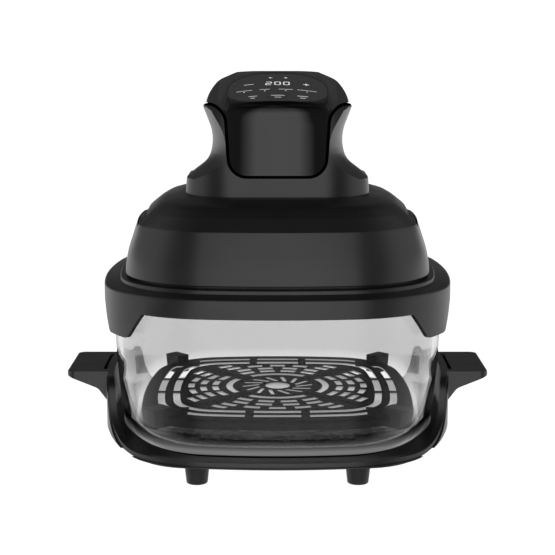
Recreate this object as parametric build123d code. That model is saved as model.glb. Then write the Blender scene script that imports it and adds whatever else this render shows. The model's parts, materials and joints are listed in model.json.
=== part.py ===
from build123d import *
from functools import cache
import math
import os

# Glass countertop cooker: a lift-off heating head on a glass bowl in a carrier tray.
# Millimetres. Origin on the floor under the middle, +Z up, front towards -Y.

# Plan: every ring of the body is an offset of one rounded square
PLAN_HALF = 145.0
PLAN_SIDE_RADIUS = 450.0
PLAN_CORNER_RADIUS = 93.0
CORE_HALF = 60.0

# Clearances shared by the whole model
LIFT_GAP = 0.3
SEAT_GAP = 0.2
PIN_FIT = 0.05
FAR = 400.0

# Carrier tray
FOOT_HEIGHT = 17.0
FOOT_TOP_RADIUS = 10.3
FOOT_BOTTOM_RADIUS = 8.5
FOOT_X = 64.7
FOOT_Y = 100.0
FOOT_EDGE_RADIUS = 1.2
FOOT_SCREW_GAP = 0.5
FOOT_SCREW_COVER = 1.0
TRAY_FLOOR = 4.0
TRAY_RIM_HALF = 145.0
TRAY_BEAD_STEP = 1.4
TRAY_BEAD_DEPTH = 4.0
TRAY_WALL = 6.5
TRAY_SHELF = 3.0
TRAY_SIDE_TOP = 77.0
TRAY_FRONT_TOP = 26.7
TRAY_TOP_FLAT = 64.0
TRAY_TOP_STEEP = 78.0
TRAY_TOP_STEEP_RISE = 20.3
TRAY_TOP_FOOT = 104.0
TRAY_TOP_FOOT_RISE = 2.3
TRAY_TOP_RADII = (16.0, 42.0, 55.0)
TRAY_SIDE_LOW = 37.0
TRAY_FRONT_LOW = 22.0
TRAY_LOW_FLAT = 72.0
TRAY_LOW_FOOT = 118.0
TRAY_LOW_FOOT_RISE = 2.0
TRAY_LOW_RADII = (70.0, 60.0)
PEDESTAL_HALF = 122.0
PEDESTAL_SIDE_RADIUS = 600.0
PEDESTAL_CORNER_RADIUS = 50.0
PEDESTAL_HEIGHT = 7.0
PAN_LOW_HALF = 124.0
PAN_LOW_Z = 18.0
PAN_HIGH_HALF = 136.0
PAN_HIGH_Z = 40.0
PAN_WALL = 4.5
PAN_FLARE = 2.0

# Carrying wings
WING_TIP = 177.0
WING_HALF_WIDTH = 38.5
WING_TIP_THICKNESS = 4.0
WING_NECK_X = 151.0
WING_NECK_Z = 62.5
WING_NECK_RADIUS = 9.0
WING_ROOT_X = 144.0
WING_ROOT_Z = 53.0
WING_EDGE_RADIUS = 1.2
WING_CORNER_RADIUS = 7.0
WING_SLOT_WIDTH = 3.8
WING_SLOT_HALF_LENGTH = 29.0

# Rest pads between tray and bowl
PAD_HEIGHT = 3.0
PAD_RADIUS = 9.0
PAD_PLACE = 70.0

# Glass bowl
BOWL_RIM_HALF = 137.0
BOWL_FOOT_HALF = 128.2
BOWL_BEND_HEIGHT = 92.0
BOWL_BEND_RADIUS = 600.0
BOWL_CORNER_RADIUS = 28.0
BOWL_HEIGHT = 126.0
BOWL_WALL = 5.0
BOWL_BASE = 6.0
BOWL_LIP_RADIUS = 1.8

# Crisper plate
PLATE_HALF = 116.0
PLATE_TOP = 55.5
PLATE_SHEET = 1.2
PLATE_SKIRT = 7.0
PLATE_SKIRT_FLARE = 1.0
PLATE_EDGE_RADIUS = 3.5
HUB_HOLE_RADIUS = 10.6
HUB_SLOT_COUNT = 14
HUB_SLOT_INNER = 15.0
HUB_SLOT_OUTER = 31.0
HUB_SLOT_WIDTH = 3.2
HUB_SLOT_TWIST = 24.0
SECTOR_ARC_RADIUS = 41.5
SECTOR_ARC_HALF_ANGLE = 34.0
DASH_WIDTH = 5.6
DASH_LENGTH = 13.5
# Radius of a row of dashes, then the angles of its dashes from the sector's middle
DASH_ROWS = ((54.0, (10.0, 30.0)), (64.5, (10.0, 28.0)), (75.0, (0.0, 16.0, 32.0)), (85.0, (34.0,)))
BORDER_ROWS = (87.0, 100.0)
BORDER_SLOT_WIDTH = 6.0
BORDER_MIDDLE_HALF = 19.0
BORDER_END_START = 26.0
BORDER_END_STOP = 72.0
RIDGE_HEIGHT = 0.6
RIDGE_WIDTH = 1.2
RIDGE_HALVES = (80.5, 93.5)
RIDGE_RING_RADIUS = 35.0
RIDGE_BAR_STOP = 96.6
BUMPER_SIDE = 14.0
BUMPER_PLACE = 94.0
BUMPER_RISE = 6.0
BUMPER_DROP = 9.5

# Lower housing: skirt, ledge, web and corner tabs
SKIRT_BOTTOM = 141.5
SKIRT_TOP = 157.0
SKIRT_WALL = 3.0
SKIRT_EDGE_RADIUS = 2.2
SKIRT_FOOT_RADIUS = 0.8
LEDGE_HALF = 132.0
LEDGE_TOP = 159.0
STEP_TOP = 162.0
STEP_LEAN = 0.5
STEP_RADIUS = 1.0
STEP_INNER_HALF = 123.0
WEB_BOTTOM = 155.0
WEB_TOP = 158.0
WEB_OPENING_RADIUS = 105.0
RIB_OUTER_HALF = 129.5
RIB_WIDTH = 3.0
RIB_DROP = 8.0
RIB_NOTCH_HALF = 5.0
TAB_BOTTOM = 120.8
TAB_ANGLE = 32.0
TAB_TOP_HALF = 33.0
TAB_BOTTOM_HALF = 15.5
TAB_CORNER_RADIUS = 7.0
GASKET_OUTER_HALF = 138.0
GASKET_WIDTH = 7.0

# Dome
DOME_BOTTOM = 164.0
DOME_HALF = 127.6
DOME_BEND_HALF = 125.9
DOME_BEND_Z = 178.0
DOME_BEND_RADIUS = 80.0
BEVEL_LOW_HALF = 117.0
BEVEL_LOW_Z = 204.8
BEVEL_HIGH_HALF = 107.0
BEVEL_HIGH_Z = 214.5
BEVEL_EDGE_RADIUS = 1.5
SHOULDER_HALF = 97.4
SHOULDER_Z = 222.2
SHOULDER_RADIUS = 24.0
ROOF_HALF = 80.0
ROOF_Z = 227.0
ROOF_RADIUS = 18.0
DOME_WALL = 2.5
DOME_FOOT_RADIUS = 0.8
# How far each corner of the dome's section moves down and inwards per millimetre of inset
BEVEL_LOW_DROP = 0.3
BEVEL_HIGH_DROP = 0.7
BEVEL_HIGH_DRAW = 0.6
SHOULDER_DROP = 0.9
SHOULDER_DRAW = 0.4
TONGUE_HALF = 122.7
TONGUE_WIDTH = 3.2
DOME_BOSS_RADIUS = 5.0
DOME_BOSS_PLACE = 88.0
HOUSING_PILOT_TOP = 184.0
HOUSING_SCREW_LENGTH = 21.0

# Neck and handle
NECK_BASE_Z = 222.0
NECK_TOP_Z = 332.0
NECK_BASE_HALF_X = 76.5
NECK_BASE_HALF_Y = 68.4
NECK_TOP_HALF_X = 68.0
NECK_TOP_HALF_Y = 42.5
NECK_BASE_CORNER = 42.0
NECK_TOP_CORNER = 29.0
SCOOP_AXIS = 80.0
LIP_HALF = 75.2
LIP_Z = 239.5
GRIP_LOW_HALF = 57.5
GRIP_LOW_Z = 253.0
GRIP_LOW_RADIUS = 20.0
GRIP_WAIST_HALF = 52.8
GRIP_WAIST_Z = 272.0
GRIP_WAIST_RADIUS = 38.0
GRIP_HEAD_HALF = 62.4
GRIP_HEAD_Z = 297.0
GRIP_HEAD_RADIUS = 1.5
CHEEK_HALF = 52.0
CHEEK_Z = 318.0
CHEEK_RADIUS = 10.0
CREST_HALF = 21.25
CROWN_RADIUS = 215.0
TOP_TILT = 17.0
TOP_FRONT_Y = -45.0
TOP_FRONT_Z = 303.0
TOP_RIDGE_Y = 34.0
TOP_RIDGE_RADIUS = 12.0
TOP_BACK_Y = 62.0
TOP_BACK_Z = 290.0
BROW_Y = -60.0
BROW_Z = 287.0
BROW_RADIUS = 9.0
NECK_WALL = 2.4

# Gloss cap with its front apron
CAP_WALL = 2.4
CAP_GROOVE = 2.4
CAP_SEAM_Z = 300.8
CAP_COLLAR_TOP = 307.0
CAP_COLLAR_DEPTH = 15.0
APRON_BOTTOM_Z = 243.9
APRON_BOTTOM_HALF = 37.5
APRON_TOP_HALF = 41.5
APRON_BOTTOM_RADIUS = 14.0
APRON_TOP_RADIUS = 16.0

# Display in the cap's tilted top
LENS_WIDTH = 82.0
LENS_LENGTH = 68.5
LENS_CORNER = 28.0
LENS_THICKNESS = 1.5
LENS_CENTRE_Y = -11.9
LENS_LEDGE = 3.0
LENS_GAP = 0.15
GUIDE_WIDTH = 58.0
GUIDE_LENGTH = 40.0
DISPLAY_BOARD_DEPTH = 10.0
DISPLAY_BOARD_WIDTH = 76.0
DISPLAY_BOARD_LENGTH = 56.0
DISPLAY_BOARD_CORNER = 4.0
BOARD_THICKNESS = 1.6
DISPLAY_POST_X = 33.5
DISPLAY_POST_Y = 23.5
DISPLAY_POST_RADIUS = 3.0
DISPLAY_PILOT_STOP = 4.0
DISPLAY_SCREW_LENGTH = 6.6

# Intake grilles in the bevel
VENT_HALF_LENGTH = 62.0
VENT_MARGIN = 0.9
VENT_DEPTH = 21.3
GRILLE_INSET = 1.4
GRILLE_THICKNESS = 1.2
GRILLE_GAP = 0.15
GRILLE_BAR_PITCH = 5.0
GRILLE_SLOT_WIDTH = 2.8
GRILLE_BORDER = 2.5

# Heating chamber
PAN_FLANGE_RADIUS = 111.5
PAN_RADIUS = 104.0
PAN_TOP = 185.0
PAN_SHEET = 1.0
PAN_DRAFT = 2.0
PAN_EDGE_RADIUS = 6.0
PAN_SHAFT_HOLE = 12.0
GUARD_THICKNESS = 1.2
GUARD_RING_WIDTH = 6.0
GUARD_RING_PITCH = 11.0
GUARD_RING_START = 24.0
GUARD_RING_COUNT = 7
GUARD_SPOKE_WIDTH = 5.0
GUARD_SPOKES = 6
GUARD_SCREW_LENGTH = 8.2
COIL_RADIUS = 90.0
COIL_PITCH = 8.0
COIL_TUBE_RADIUS = 3.2
COIL_Z = 163.0
COIL_BEND = 10.0
COIL_LEG_TOP = 193.0
CLIP_THICKNESS = 1.2
CLIP_DROP = 5.5

# Fans, shaft and motor
SHAFT_RADIUS = 3.0
SHAFT_BOTTOM = 156.5
SHAFT_TOP = 238.5
SHAFT_CHAMFER = 0.5
FAN_RADIUS = 66.0
FAN_DISC_TOP = 177.5
FAN_DISC = 1.2
FAN_BLADE_HEIGHT = 15.0
FAN_BLADES = 10
FAN_HUB_RADIUS = 9.0
FAN_BLADE_INNER = 20.0
FAN_BLADE_THICKNESS = 1.2
FAN_BLADE_MARGIN = 1.5
FAN_BLADE_LEAN = 18.0
FAN_HUB_RISE = 2.0
NUT_HEIGHT = 4.0
NUT_WIDTH = 12.0
COOLER_RADIUS = 50.0
COOLER_BOTTOM = 188.0
COOLER_HEIGHT = 11.0
COOLER_BLADES = 12
COOLER_HUB_RADIUS = 9.0
COOLER_BLADE_INNER = 13.0
COOLER_BLADE_LEAN = 14.0
BRACKET_Z = 202.0
BRACKET_SHEET = 2.0
BRACKET_RADIUS = 66.0
BRACKET_HOLE = 8.5
BRACKET_LEG_RADIUS = 4.0
BRACKET_LEG_PLACE = 60.0
BRACKET_SCREW_LENGTH = 9.0
MOTOR_RADIUS = 34.0
MOTOR_HEIGHT = 30.0
MOTOR_WALL = 2.0
MOTOR_EDGE_RADIUS = 3.0
BEARING_RADIUS = 7.0
BEARING_HEIGHT = 6.0
STATOR_HEIGHT = 18.0
STATOR_SLOTS = 6
STATOR_SLOT_PLACE = 25.0
STATOR_SLOT_RADIUS = 3.0
ROTOR_RADIUS = 19.0
AIR_GAP = 0.6

# Electronics
POWER_BOARD_Z = 250.0
POWER_BOARD_X = 84.0
POWER_BOARD_Y = 72.0
STANDOFF_RADIUS = 3.0
STANDOFF_X = 37.0
STANDOFF_Y = 28.0
# Corner X and Y, length, width and height of each block; place, radius and height of each can
BOARD_BLOCKS = (
    (-34.0, -28.0, 20.0, 16.0, 15.0),
    (4.0, -26.0, 26.0, 22.0, 18.0),
    (-30.0, 8.0, 22.0, 16.0, 6.0),
)
BOARD_CANS = ((12.0, 14.0, 8.0, 20.0), (30.0, 14.0, 5.0, 12.0))
LEAD_RADIUS = 1.4
LEAD_BEND = 6.0
LEAD_RISE_Z = 207.0
LEAD_SHELF_X = 62.0
LEAD_SHELF_Z = 222.0
LEAD_END_Z = 236.0
LEAD_END_X = 38.0
LEAD_SPREAD = 2.0

# Safety parts
SENSOR_PLACE = (50.0, -50.0)
SENSOR_RADIUS = 2.2
SENSOR_DROP = 10.0
SENSOR_FLANGE_RADIUS = 6.0
SENSOR_FLANGE_HEIGHT = 2.0
CUTOFF_PLACE = (-55.0, 45.0)
CUTOFF_RADIUS = 8.0
CUTOFF_HEIGHT = 7.0
CUTOFF_TAG = 1.0
PLUNGER_Y = 115.0
PLUNGER_RADIUS = 2.5
PLUNGER_TOP = 169.0
PLUNGER_FOOT_HALF = 3.0
PLUNGER_FOOT_HEIGHT = 2.4
SWITCH_HALF_X = 8.0
SWITCH_Y = 105.6
SWITCH_DEPTH = 6.0
SWITCH_LEVER = 1.0

# Cord gland at the rear
GLAND_Z = 180.0
GLAND_RADIUS = 6.0
GLAND_FLANGE_RADIUS = 9.0
GLAND_FLANGE = 2.5
GLAND_LENGTH = 14.0
GLAND_BORE = 3.2

# Screws
SCREW_RADIUS = 1.5
SCREW_HEAD_RADIUS = 3.0
SCREW_HEAD_HEIGHT = 2.0
SCREW_RECESS = 0.8

BOWL_BOTTOM = FOOT_HEIGHT + TRAY_FLOOR + PAD_HEIGHT
BOWL_RIM = BOWL_BOTTOM + BOWL_HEIGHT
TRAY_INSIDE = FOOT_HEIGHT + TRAY_FLOOR


def corner_centre(half, side_radius, corner_radius):
    """Where the round corner of a bowed square has its centre, along X and along Y."""
    reach = side_radius - half
    span = side_radius - corner_radius
    return (math.sqrt(2 * span**2 - reach**2) - reach) / 2


def rounded_square(half, side_radius, corner_radius, z=0.0):
    """Wire of slightly bowed sides and round corners, starting at the middle of the +X side."""
    reach = side_radius - half
    span = side_radius - corner_radius
    centre = corner_centre(half, side_radius, corner_radius)
    along = centre * side_radius / span
    across = (centre + reach) * side_radius / span - reach
    tip = centre + corner_radius / math.sqrt(2)
    bow = math.atan2(along, across + reach) / 2
    middle = (side_radius * math.cos(bow) - reach, side_radius * math.sin(bow))
    quarter = [(half, 0), middle, (across, along), (tip, tip)]
    quarter += [(y, x) for x, y in reversed(quarter[:3])]
    edges = []
    for turn in range(4):
        placed = [Vector(x, y, z).rotate(Axis.Z, 90 * turn) for x, y in quarter]
        for first in (0, 2, 4):
            edges.append(ThreePointArc(*placed[first : first + 3]))
    return Wire(edges)


def plan_wire(half, z=0.0):
    """The body's plan at a half width, as an offset of the master plan."""
    grow = half - PLAN_HALF
    return rounded_square(half, PLAN_SIDE_RADIUS + grow, PLAN_CORNER_RADIUS + grow, z)


def plan_slab(half, bottom, top):
    """A flat slab of the body's plan."""
    return extrude(Face(plan_wire(half, bottom)), top - bottom, dir=(0, 0, 1))


def outline(*corners):
    """Closed face through corners given as (across, up) or (across, up, round radius)."""
    points = [corner[:2] for corner in corners]
    rounds = [corner[2] if len(corner) > 2 else 0 for corner in corners]
    return Face(Wire(FilletPolyline(*points, radius=rounds, close=True).edges()))


def ring(*corners):
    """A section of half widths and heights, carried round the plan."""
    return sweep(Plane.XZ * outline(*corners), path=plan_wire(PLAN_HALF))


def turned(*corners):
    """A section of radii and heights, turned about the upright axis."""
    return revolve(Plane.XZ * outline(*corners), Axis.Z)


def tube(outer, inner, bottom, top):
    """An upright tube, or a rod when the inner radius is zero."""
    wall = Pos(0, 0, bottom) * extrude(Circle(outer), top - bottom)
    if inner > 0:
        wall -= Pos(0, 0, bottom) * extrude(Circle(inner), top - bottom)
    return wall


def block(low, high):
    """A box between two corners."""
    size = [b - a for a, b in zip(low, high)]
    middle = [(a + b) / 2 for a, b in zip(low, high)]
    return Pos(*middle) * Box(*size)


def four_ways(x, y):
    """The four places of one feature, mirrored in both planes of the body."""
    return [(side * x, end * y) for end in (-1, 1) for side in (-1, 1)]


def screw(length):
    """A pan head screw that points up, with the underside of its head at the origin."""
    head = tube(SCREW_HEAD_RADIUS, 0, -SCREW_HEAD_HEIGHT, 0)
    recess_low = -SCREW_HEAD_HEIGHT - SCREW_RECESS
    recess_high = -SCREW_HEAD_HEIGHT + SCREW_RECESS
    reach = SCREW_RADIUS
    arm = SCREW_RECESS / 2
    for a, b in ((reach, arm), (arm, reach)):
        head -= block((-a, -b, recess_low), (a, b, recess_high))
    return head + tube(SCREW_RADIUS, 0, -SCREW_HEAD_HEIGHT / 2, length)


def screw_hole(low, high, place):
    """Clearance for a screw's shank, as an upright rod at a place."""
    return Pos(*place, 0) * tube(SCREW_RADIUS + PIN_FIT, 0, low, high)


def screws_at(places, z, length):
    """Identical upright screws as one group of separate solids."""
    return Compound(children=[Pos(x, y, z) * screw(length) for x, y in places])


# Carrier tray


def saddle(front, slope):
    """Everything below a saddle: high along the sides, sweeping down to front and back."""
    front_half = [(-y, z, r) for y, z, r in reversed(slope)]
    corners = [(-FAR, -FAR), (-FAR, front), *front_half, *slope, (FAR, front), (FAR, -FAR)]
    return extrude(Plane.YZ * outline(*corners), FAR, both=True)


def tray_top_saddle(drop=0.0):
    """Below the tray's rim."""
    front = TRAY_FRONT_TOP - drop
    crest, steep, foot = TRAY_TOP_RADII
    slope = [
        (TRAY_TOP_FLAT, TRAY_SIDE_TOP - drop, crest),
        (TRAY_TOP_STEEP, front + TRAY_TOP_STEEP_RISE, steep),
        (TRAY_TOP_FOOT, front + TRAY_TOP_FOOT_RISE, foot),
    ]
    return saddle(front, slope)


def tray_low_saddle(rise=0.0):
    """Below the tray's outer wall."""
    front = TRAY_FRONT_LOW + rise
    crest, foot = TRAY_LOW_RADII
    slope = [
        (TRAY_LOW_FLAT, TRAY_SIDE_LOW + rise, crest),
        (TRAY_LOW_FOOT, front + TRAY_LOW_FOOT_RISE, foot),
    ]
    return saddle(front, slope)


def wing(side):
    """One carrying wing: a thin flat top on a curved gusset."""
    root = TRAY_RIM_HALF - TRAY_WALL / 2
    gusset = outline(
        (root, TRAY_SIDE_TOP),
        (WING_TIP, TRAY_SIDE_TOP, WING_EDGE_RADIUS),
        (WING_TIP, TRAY_SIDE_TOP - WING_TIP_THICKNESS, WING_EDGE_RADIUS),
        (WING_NECK_X, WING_NECK_Z, WING_NECK_RADIUS),
        (WING_ROOT_X, WING_ROOT_Z),
        (root, WING_ROOT_Z),
    )
    body = extrude(Plane.XZ * gusset, WING_HALF_WIDTH, both=True)
    seen_from_above = RectangleRounded(2 * WING_TIP, 2 * WING_HALF_WIDTH, WING_CORNER_RADIUS)
    body = body & extrude(seen_from_above, FAR)
    if side < 0:
        body = mirror(body, about=Plane.YZ)
    return body


def wing_slot(side):
    """The narrow slot between a wing and the tray's wall."""
    inner = TRAY_RIM_HALF - TRAY_BEAD_STEP
    outer = TRAY_RIM_HALF + WING_SLOT_WIDTH - TRAY_BEAD_STEP
    low = min(side * inner, side * outer)
    high = max(side * inner, side * outer)
    slot = block((low, -WING_SLOT_HALF_LENGTH, 0), (high, WING_SLOT_HALF_LENGTH, FAR))
    return slot - plan_slab(TRAY_RIM_HALF, 0, FAR)


def make_carrier_base():
    bottom = FOOT_HEIGHT
    pedestal_wire = rounded_square(PEDESTAL_HALF, PEDESTAL_SIDE_RADIUS, PEDESTAL_CORNER_RADIUS, bottom)
    pedestal = extrude(Face(pedestal_wire), PEDESTAL_HEIGHT, dir=(0, 0, 1))
    pan_low = plan_wire(PAN_LOW_HALF, PAN_LOW_Z)
    pan_high = plan_wire(PAN_HIGH_HALF, PAN_HIGH_Z)
    pan = loft([Face(pan_low), Face(pan_high)], ruled=True)
    inside_low = plan_wire(PAN_LOW_HALF - PAN_WALL, TRAY_INSIDE)
    inside_high = plan_wire(PAN_HIGH_HALF - PAN_WALL + PAN_FLARE, PAN_HIGH_Z + PAN_WALL)
    pan_inside = loft([Face(inside_low), Face(inside_high)], ruled=True)
    wall = plan_slab(TRAY_RIM_HALF, bottom, FAR) & tray_top_saddle(TRAY_BEAD_DEPTH)
    wall += plan_slab(TRAY_RIM_HALF - TRAY_BEAD_STEP, bottom, FAR) & tray_top_saddle()
    wall -= tray_low_saddle()
    outside = (wall + (pan & tray_top_saddle())) + (pedestal & tray_top_saddle())
    for side in (-1, 1):
        outside += wing(side) - wing_slot(side)
    inside = plan_slab(TRAY_RIM_HALF - TRAY_WALL, bottom, FAR) - tray_low_saddle(TRAY_SHELF)
    tray = outside - inside - pan_inside
    for place in four_ways(FOOT_X, FOOT_Y):
        tray -= screw_hole(bottom, TRAY_INSIDE - FOOT_SCREW_COVER, place)
    return tray


def make_foot(place):
    x, y = place
    cone = loft([Circle(FOOT_BOTTOM_RADIUS), Pos(0, 0, FOOT_HEIGHT) * Circle(FOOT_TOP_RADIUS)])
    cone = fillet(cone.edges().group_by(Axis.Z)[0], FOOT_EDGE_RADIUS)
    cone -= tube(SCREW_HEAD_RADIUS + FOOT_SCREW_GAP, 0, 0, FOOT_HEIGHT / 2)
    cone -= tube(SCREW_RADIUS + PIN_FIT, 0, 0, FOOT_HEIGHT)
    return Pos(x, y, 0) * cone


def make_foot_screws():
    length = FOOT_HEIGHT / 2 + TRAY_FLOOR - FOOT_SCREW_COVER - LIFT_GAP
    return screws_at(four_ways(FOOT_X, FOOT_Y), FOOT_HEIGHT / 2, length)


def make_rest_pads():
    pad = tube(PAD_RADIUS, 0, TRAY_INSIDE, BOWL_BOTTOM)
    return Compound(children=[Pos(x, y, 0) * pad for x, y in four_ways(PAD_PLACE, PAD_PLACE)])


# Glass bowl and crisper plate


@cache
def bowl_form(inset, base, top):
    """The bowl's outer form, drawn in by an inset and cut at a base and a top height."""
    core = CORE_HALF
    foot = BOWL_FOOT_HALF - inset
    rim = BOWL_RIM_HALF - inset
    wall = ring(
        (core, base),
        (foot, base, BOWL_CORNER_RADIUS - inset),
        (rim, BOWL_BEND_HEIGHT, BOWL_BEND_RADIUS - inset),
        (rim, top),
        (core, top),
    )
    return wall + plan_slab(core + 1, base, top)


def make_glass_bowl():
    inside = bowl_form(BOWL_WALL, BOWL_BOTTOM + BOWL_BASE, BOWL_RIM + BOWL_WALL)
    bowl = bowl_form(0, BOWL_BOTTOM, BOWL_RIM) - inside
    lip = bowl.edges().group_by(Axis.Z)[-1]
    return fillet(lip, BOWL_LIP_RADIUS)


def cell(radius, middle_angle, half_angle, width):
    """A short stretch of a flat ring, centred on a radius and an angle."""
    start = middle_angle - half_angle
    inner = CenterArc((0, 0), radius - width / 2, start, 2 * half_angle)
    outer = CenterArc((0, 0), radius + width / 2, start, 2 * half_angle)
    sides = [Line(inner @ 0, outer @ 0), Line(inner @ 1, outer @ 1)]
    return make_face([inner.edge(), outer.edge(), sides[0].edge(), sides[1].edge()])


def hub_slots():
    """Twisted slots round the plate's middle hole."""
    middle = (HUB_SLOT_INNER + HUB_SLOT_OUTER) / 2
    length = HUB_SLOT_OUTER - HUB_SLOT_INNER
    slots = []
    for index in range(HUB_SLOT_COUNT):
        angle = 360 * index / HUB_SLOT_COUNT
        slot = Rot(0, 0, HUB_SLOT_TWIST) * SlotOverall(length, HUB_SLOT_WIDTH)
        slots.append(Rot(0, 0, angle) * Pos(middle, 0) * slot)
    return slots


def sector_slots():
    """One arc and its rows of dashes in each quarter of the plate."""
    slots = []
    for turn in range(4):
        facing = 90 * turn
        slots.append(cell(SECTOR_ARC_RADIUS, facing, SECTOR_ARC_HALF_ANGLE, DASH_WIDTH))
        for radius, angles in DASH_ROWS:
            half_angle = math.degrees(DASH_LENGTH / 2 / radius)
            both_sides = sorted({angle * sign for angle in angles for sign in (-1, 1)})
            for angle in both_sides:
                slots.append(cell(radius, facing + angle, half_angle, DASH_WIDTH))
    return slots


def border_slots():
    """Long slots along the plate's sides, in rows that follow its plan."""
    slots = []
    for half in BORDER_ROWS:
        outer = Face(plan_wire(half + BORDER_SLOT_WIDTH / 2))
        row = outer - Face(plan_wire(half - BORDER_SLOT_WIDTH / 2))
        reach = BORDER_END_STOP - BORDER_END_START
        windows = [Pos(half, 0) * Rectangle(half, 2 * BORDER_MIDDLE_HALF)]
        for side in (-1, 1):
            place = side * (BORDER_END_START + reach / 2)
            windows.append(Pos(half, place) * Rectangle(half, reach))
        for turn in range(4):
            slots += [row & (Rot(0, 0, 90 * turn) * window) for window in windows]
    return slots


def plate_ridges():
    """Raised lines pressed into the plate."""
    top = PLATE_TOP + RIDGE_HEIGHT
    low = PLATE_TOP - PLATE_SHEET / 2
    ridges = tube(RIDGE_RING_RADIUS + RIDGE_WIDTH, RIDGE_RING_RADIUS, low, top)
    for half in RIDGE_HALVES:
        outer = plan_slab(half + RIDGE_WIDTH / 2, low, top)
        ridges += outer - plan_slab(half - RIDGE_WIDTH / 2, low, top)
    start = RIDGE_RING_RADIUS + RIDGE_WIDTH / 2
    for turn in range(4):
        bar = block((start, -RIDGE_WIDTH / 2, low), (RIDGE_BAR_STOP, RIDGE_WIDTH / 2, top))
        ridges += Rot(0, 0, 45 + 90 * turn) * bar
    return ridges


@cache
def plate_blank():
    """The plate before its slots are cut."""
    under = PLATE_TOP - PLATE_SHEET
    low = PLATE_TOP - PLATE_SKIRT
    edge = ring(
        (CORE_HALF, PLATE_TOP),
        (PLATE_HALF, PLATE_TOP, PLATE_EDGE_RADIUS),
        (PLATE_HALF + PLATE_SKIRT_FLARE, low),
        (PLATE_HALF + PLATE_SKIRT_FLARE - PLATE_SHEET, low),
        (PLATE_HALF - PLATE_SHEET, under, PLATE_EDGE_RADIUS - PLATE_SHEET),
        (CORE_HALF, under),
    )
    return edge + plan_slab(CORE_HALF + 1, under, PLATE_TOP)


def make_crisper_plate():
    slots = Sketch() + hub_slots() + sector_slots() + border_slots() + [Circle(HUB_HOLE_RADIUS)]
    cutter = Pos(0, 0, PLATE_TOP - 2 * PLATE_SHEET) * extrude(slots, 4 * PLATE_SHEET)
    return plate_blank() + plate_ridges() - cutter


def make_bumper(place):
    """A silicone block that grips the plate's corner and rests on the glass."""
    x, y = place
    low = PLATE_TOP - BUMPER_DROP
    high = PLATE_TOP + BUMPER_RISE
    body = block((-BUMPER_SIDE / 2, -BUMPER_SIDE / 2, low), (BUMPER_SIDE, BUMPER_SIDE / 2, high))
    facing = math.degrees(math.atan2(y, x))
    body = Pos(x, y, 0) * Rot(0, 0, facing) * body
    room = bowl_form(BOWL_WALL + LIFT_GAP, BOWL_BOTTOM + BOWL_BASE + LIFT_GAP, BOWL_RIM)
    return (body & room) - plate_blank()


# Lower housing


def tab(side, end):
    """One corner tab that hangs over the glass, as a mask for the skirt's wall."""
    centre = corner_centre(PLAN_HALF, PLAN_SIDE_RADIUS, PLAN_CORNER_RADIUS)
    shape = outline(
        (-TAB_TOP_HALF, SKIRT_BOTTOM + 1),
        (-TAB_BOTTOM_HALF, TAB_BOTTOM, TAB_CORNER_RADIUS),
        (TAB_BOTTOM_HALF, TAB_BOTTOM, TAB_CORNER_RADIUS),
        (TAB_TOP_HALF, SKIRT_BOTTOM + 1),
    )
    mask = extrude(Plane.YZ * shape, 2 * PLAN_CORNER_RADIUS)
    mask = Pos(centre, centre, 0) * Rot(0, 0, TAB_ANGLE) * mask
    if side < 0:
        mask = mirror(mask, about=Plane.YZ)
    if end < 0:
        mask = mirror(mask, about=Plane.XZ)
    return mask


def make_lower_housing():
    inner = PLAN_HALF - SKIRT_WALL
    housing = ring(
        (PLAN_HALF, SKIRT_BOTTOM, SKIRT_FOOT_RADIUS),
        (PLAN_HALF, SKIRT_TOP, SKIRT_EDGE_RADIUS),
        (LEDGE_HALF, LEDGE_TOP),
        (LEDGE_HALF - STEP_LEAN, STEP_TOP, STEP_RADIUS),
        (STEP_INNER_HALF, STEP_TOP),
        (STEP_INNER_HALF, WEB_BOTTOM),
        (inner, WEB_BOTTOM, STEP_RADIUS),
        (inner, SKIRT_BOTTOM, SKIRT_FOOT_RADIUS),
    )
    housing += plan_slab(STEP_INNER_HALF + 1, WEB_BOTTOM, WEB_TOP)
    housing -= tube(WEB_OPENING_RADIUS, 0, WEB_BOTTOM - 1, STEP_TOP + 1)
    rib = plan_slab(RIB_OUTER_HALF, WEB_BOTTOM - RIB_DROP, WEB_BOTTOM)
    rib -= plan_slab(RIB_OUTER_HALF - RIB_WIDTH, WEB_BOTTOM - RIB_DROP - 1, WEB_BOTTOM + 1)
    rib -= block((-RIB_NOTCH_HALF, 0, TAB_BOTTOM), (RIB_NOTCH_HALF, inner - LIFT_GAP, WEB_TOP))
    housing += rib
    tab_wall = plan_slab(PLAN_HALF, TAB_BOTTOM, SKIRT_BOTTOM + SKIRT_EDGE_RADIUS)
    tab_wall -= plan_slab(inner, TAB_BOTTOM - 1, SKIRT_BOTTOM + SKIRT_WALL)
    for side, end in four_ways(1, 1):
        housing += tab_wall & tab(side, end)
    for place in four_ways(DOME_BOSS_PLACE, DOME_BOSS_PLACE) + guard_screw_places():
        housing -= screw_hole(WEB_BOTTOM - 1, WEB_TOP + 1, place)
    bore = tube(PLUNGER_RADIUS + PIN_FIT, 0, WEB_BOTTOM - 1, WEB_TOP + 1)
    return housing - Pos(0, PLUNGER_Y, 0) * bore


def make_bowl_gasket():
    """A flat silicone ring between the bowl's rim and the web, open where the plunger's foot passes."""
    inner = GASKET_OUTER_HALF - GASKET_WIDTH
    seal = plan_slab(GASKET_OUTER_HALF, BOWL_RIM, WEB_BOTTOM)
    seal -= plan_slab(inner, BOWL_RIM - 1, WEB_TOP)
    notch = block((-RIB_NOTCH_HALF, 0, BOWL_RIM - 1), (RIB_NOTCH_HALF, PLAN_HALF, WEB_TOP))
    return seal - notch


# Head housing


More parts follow.
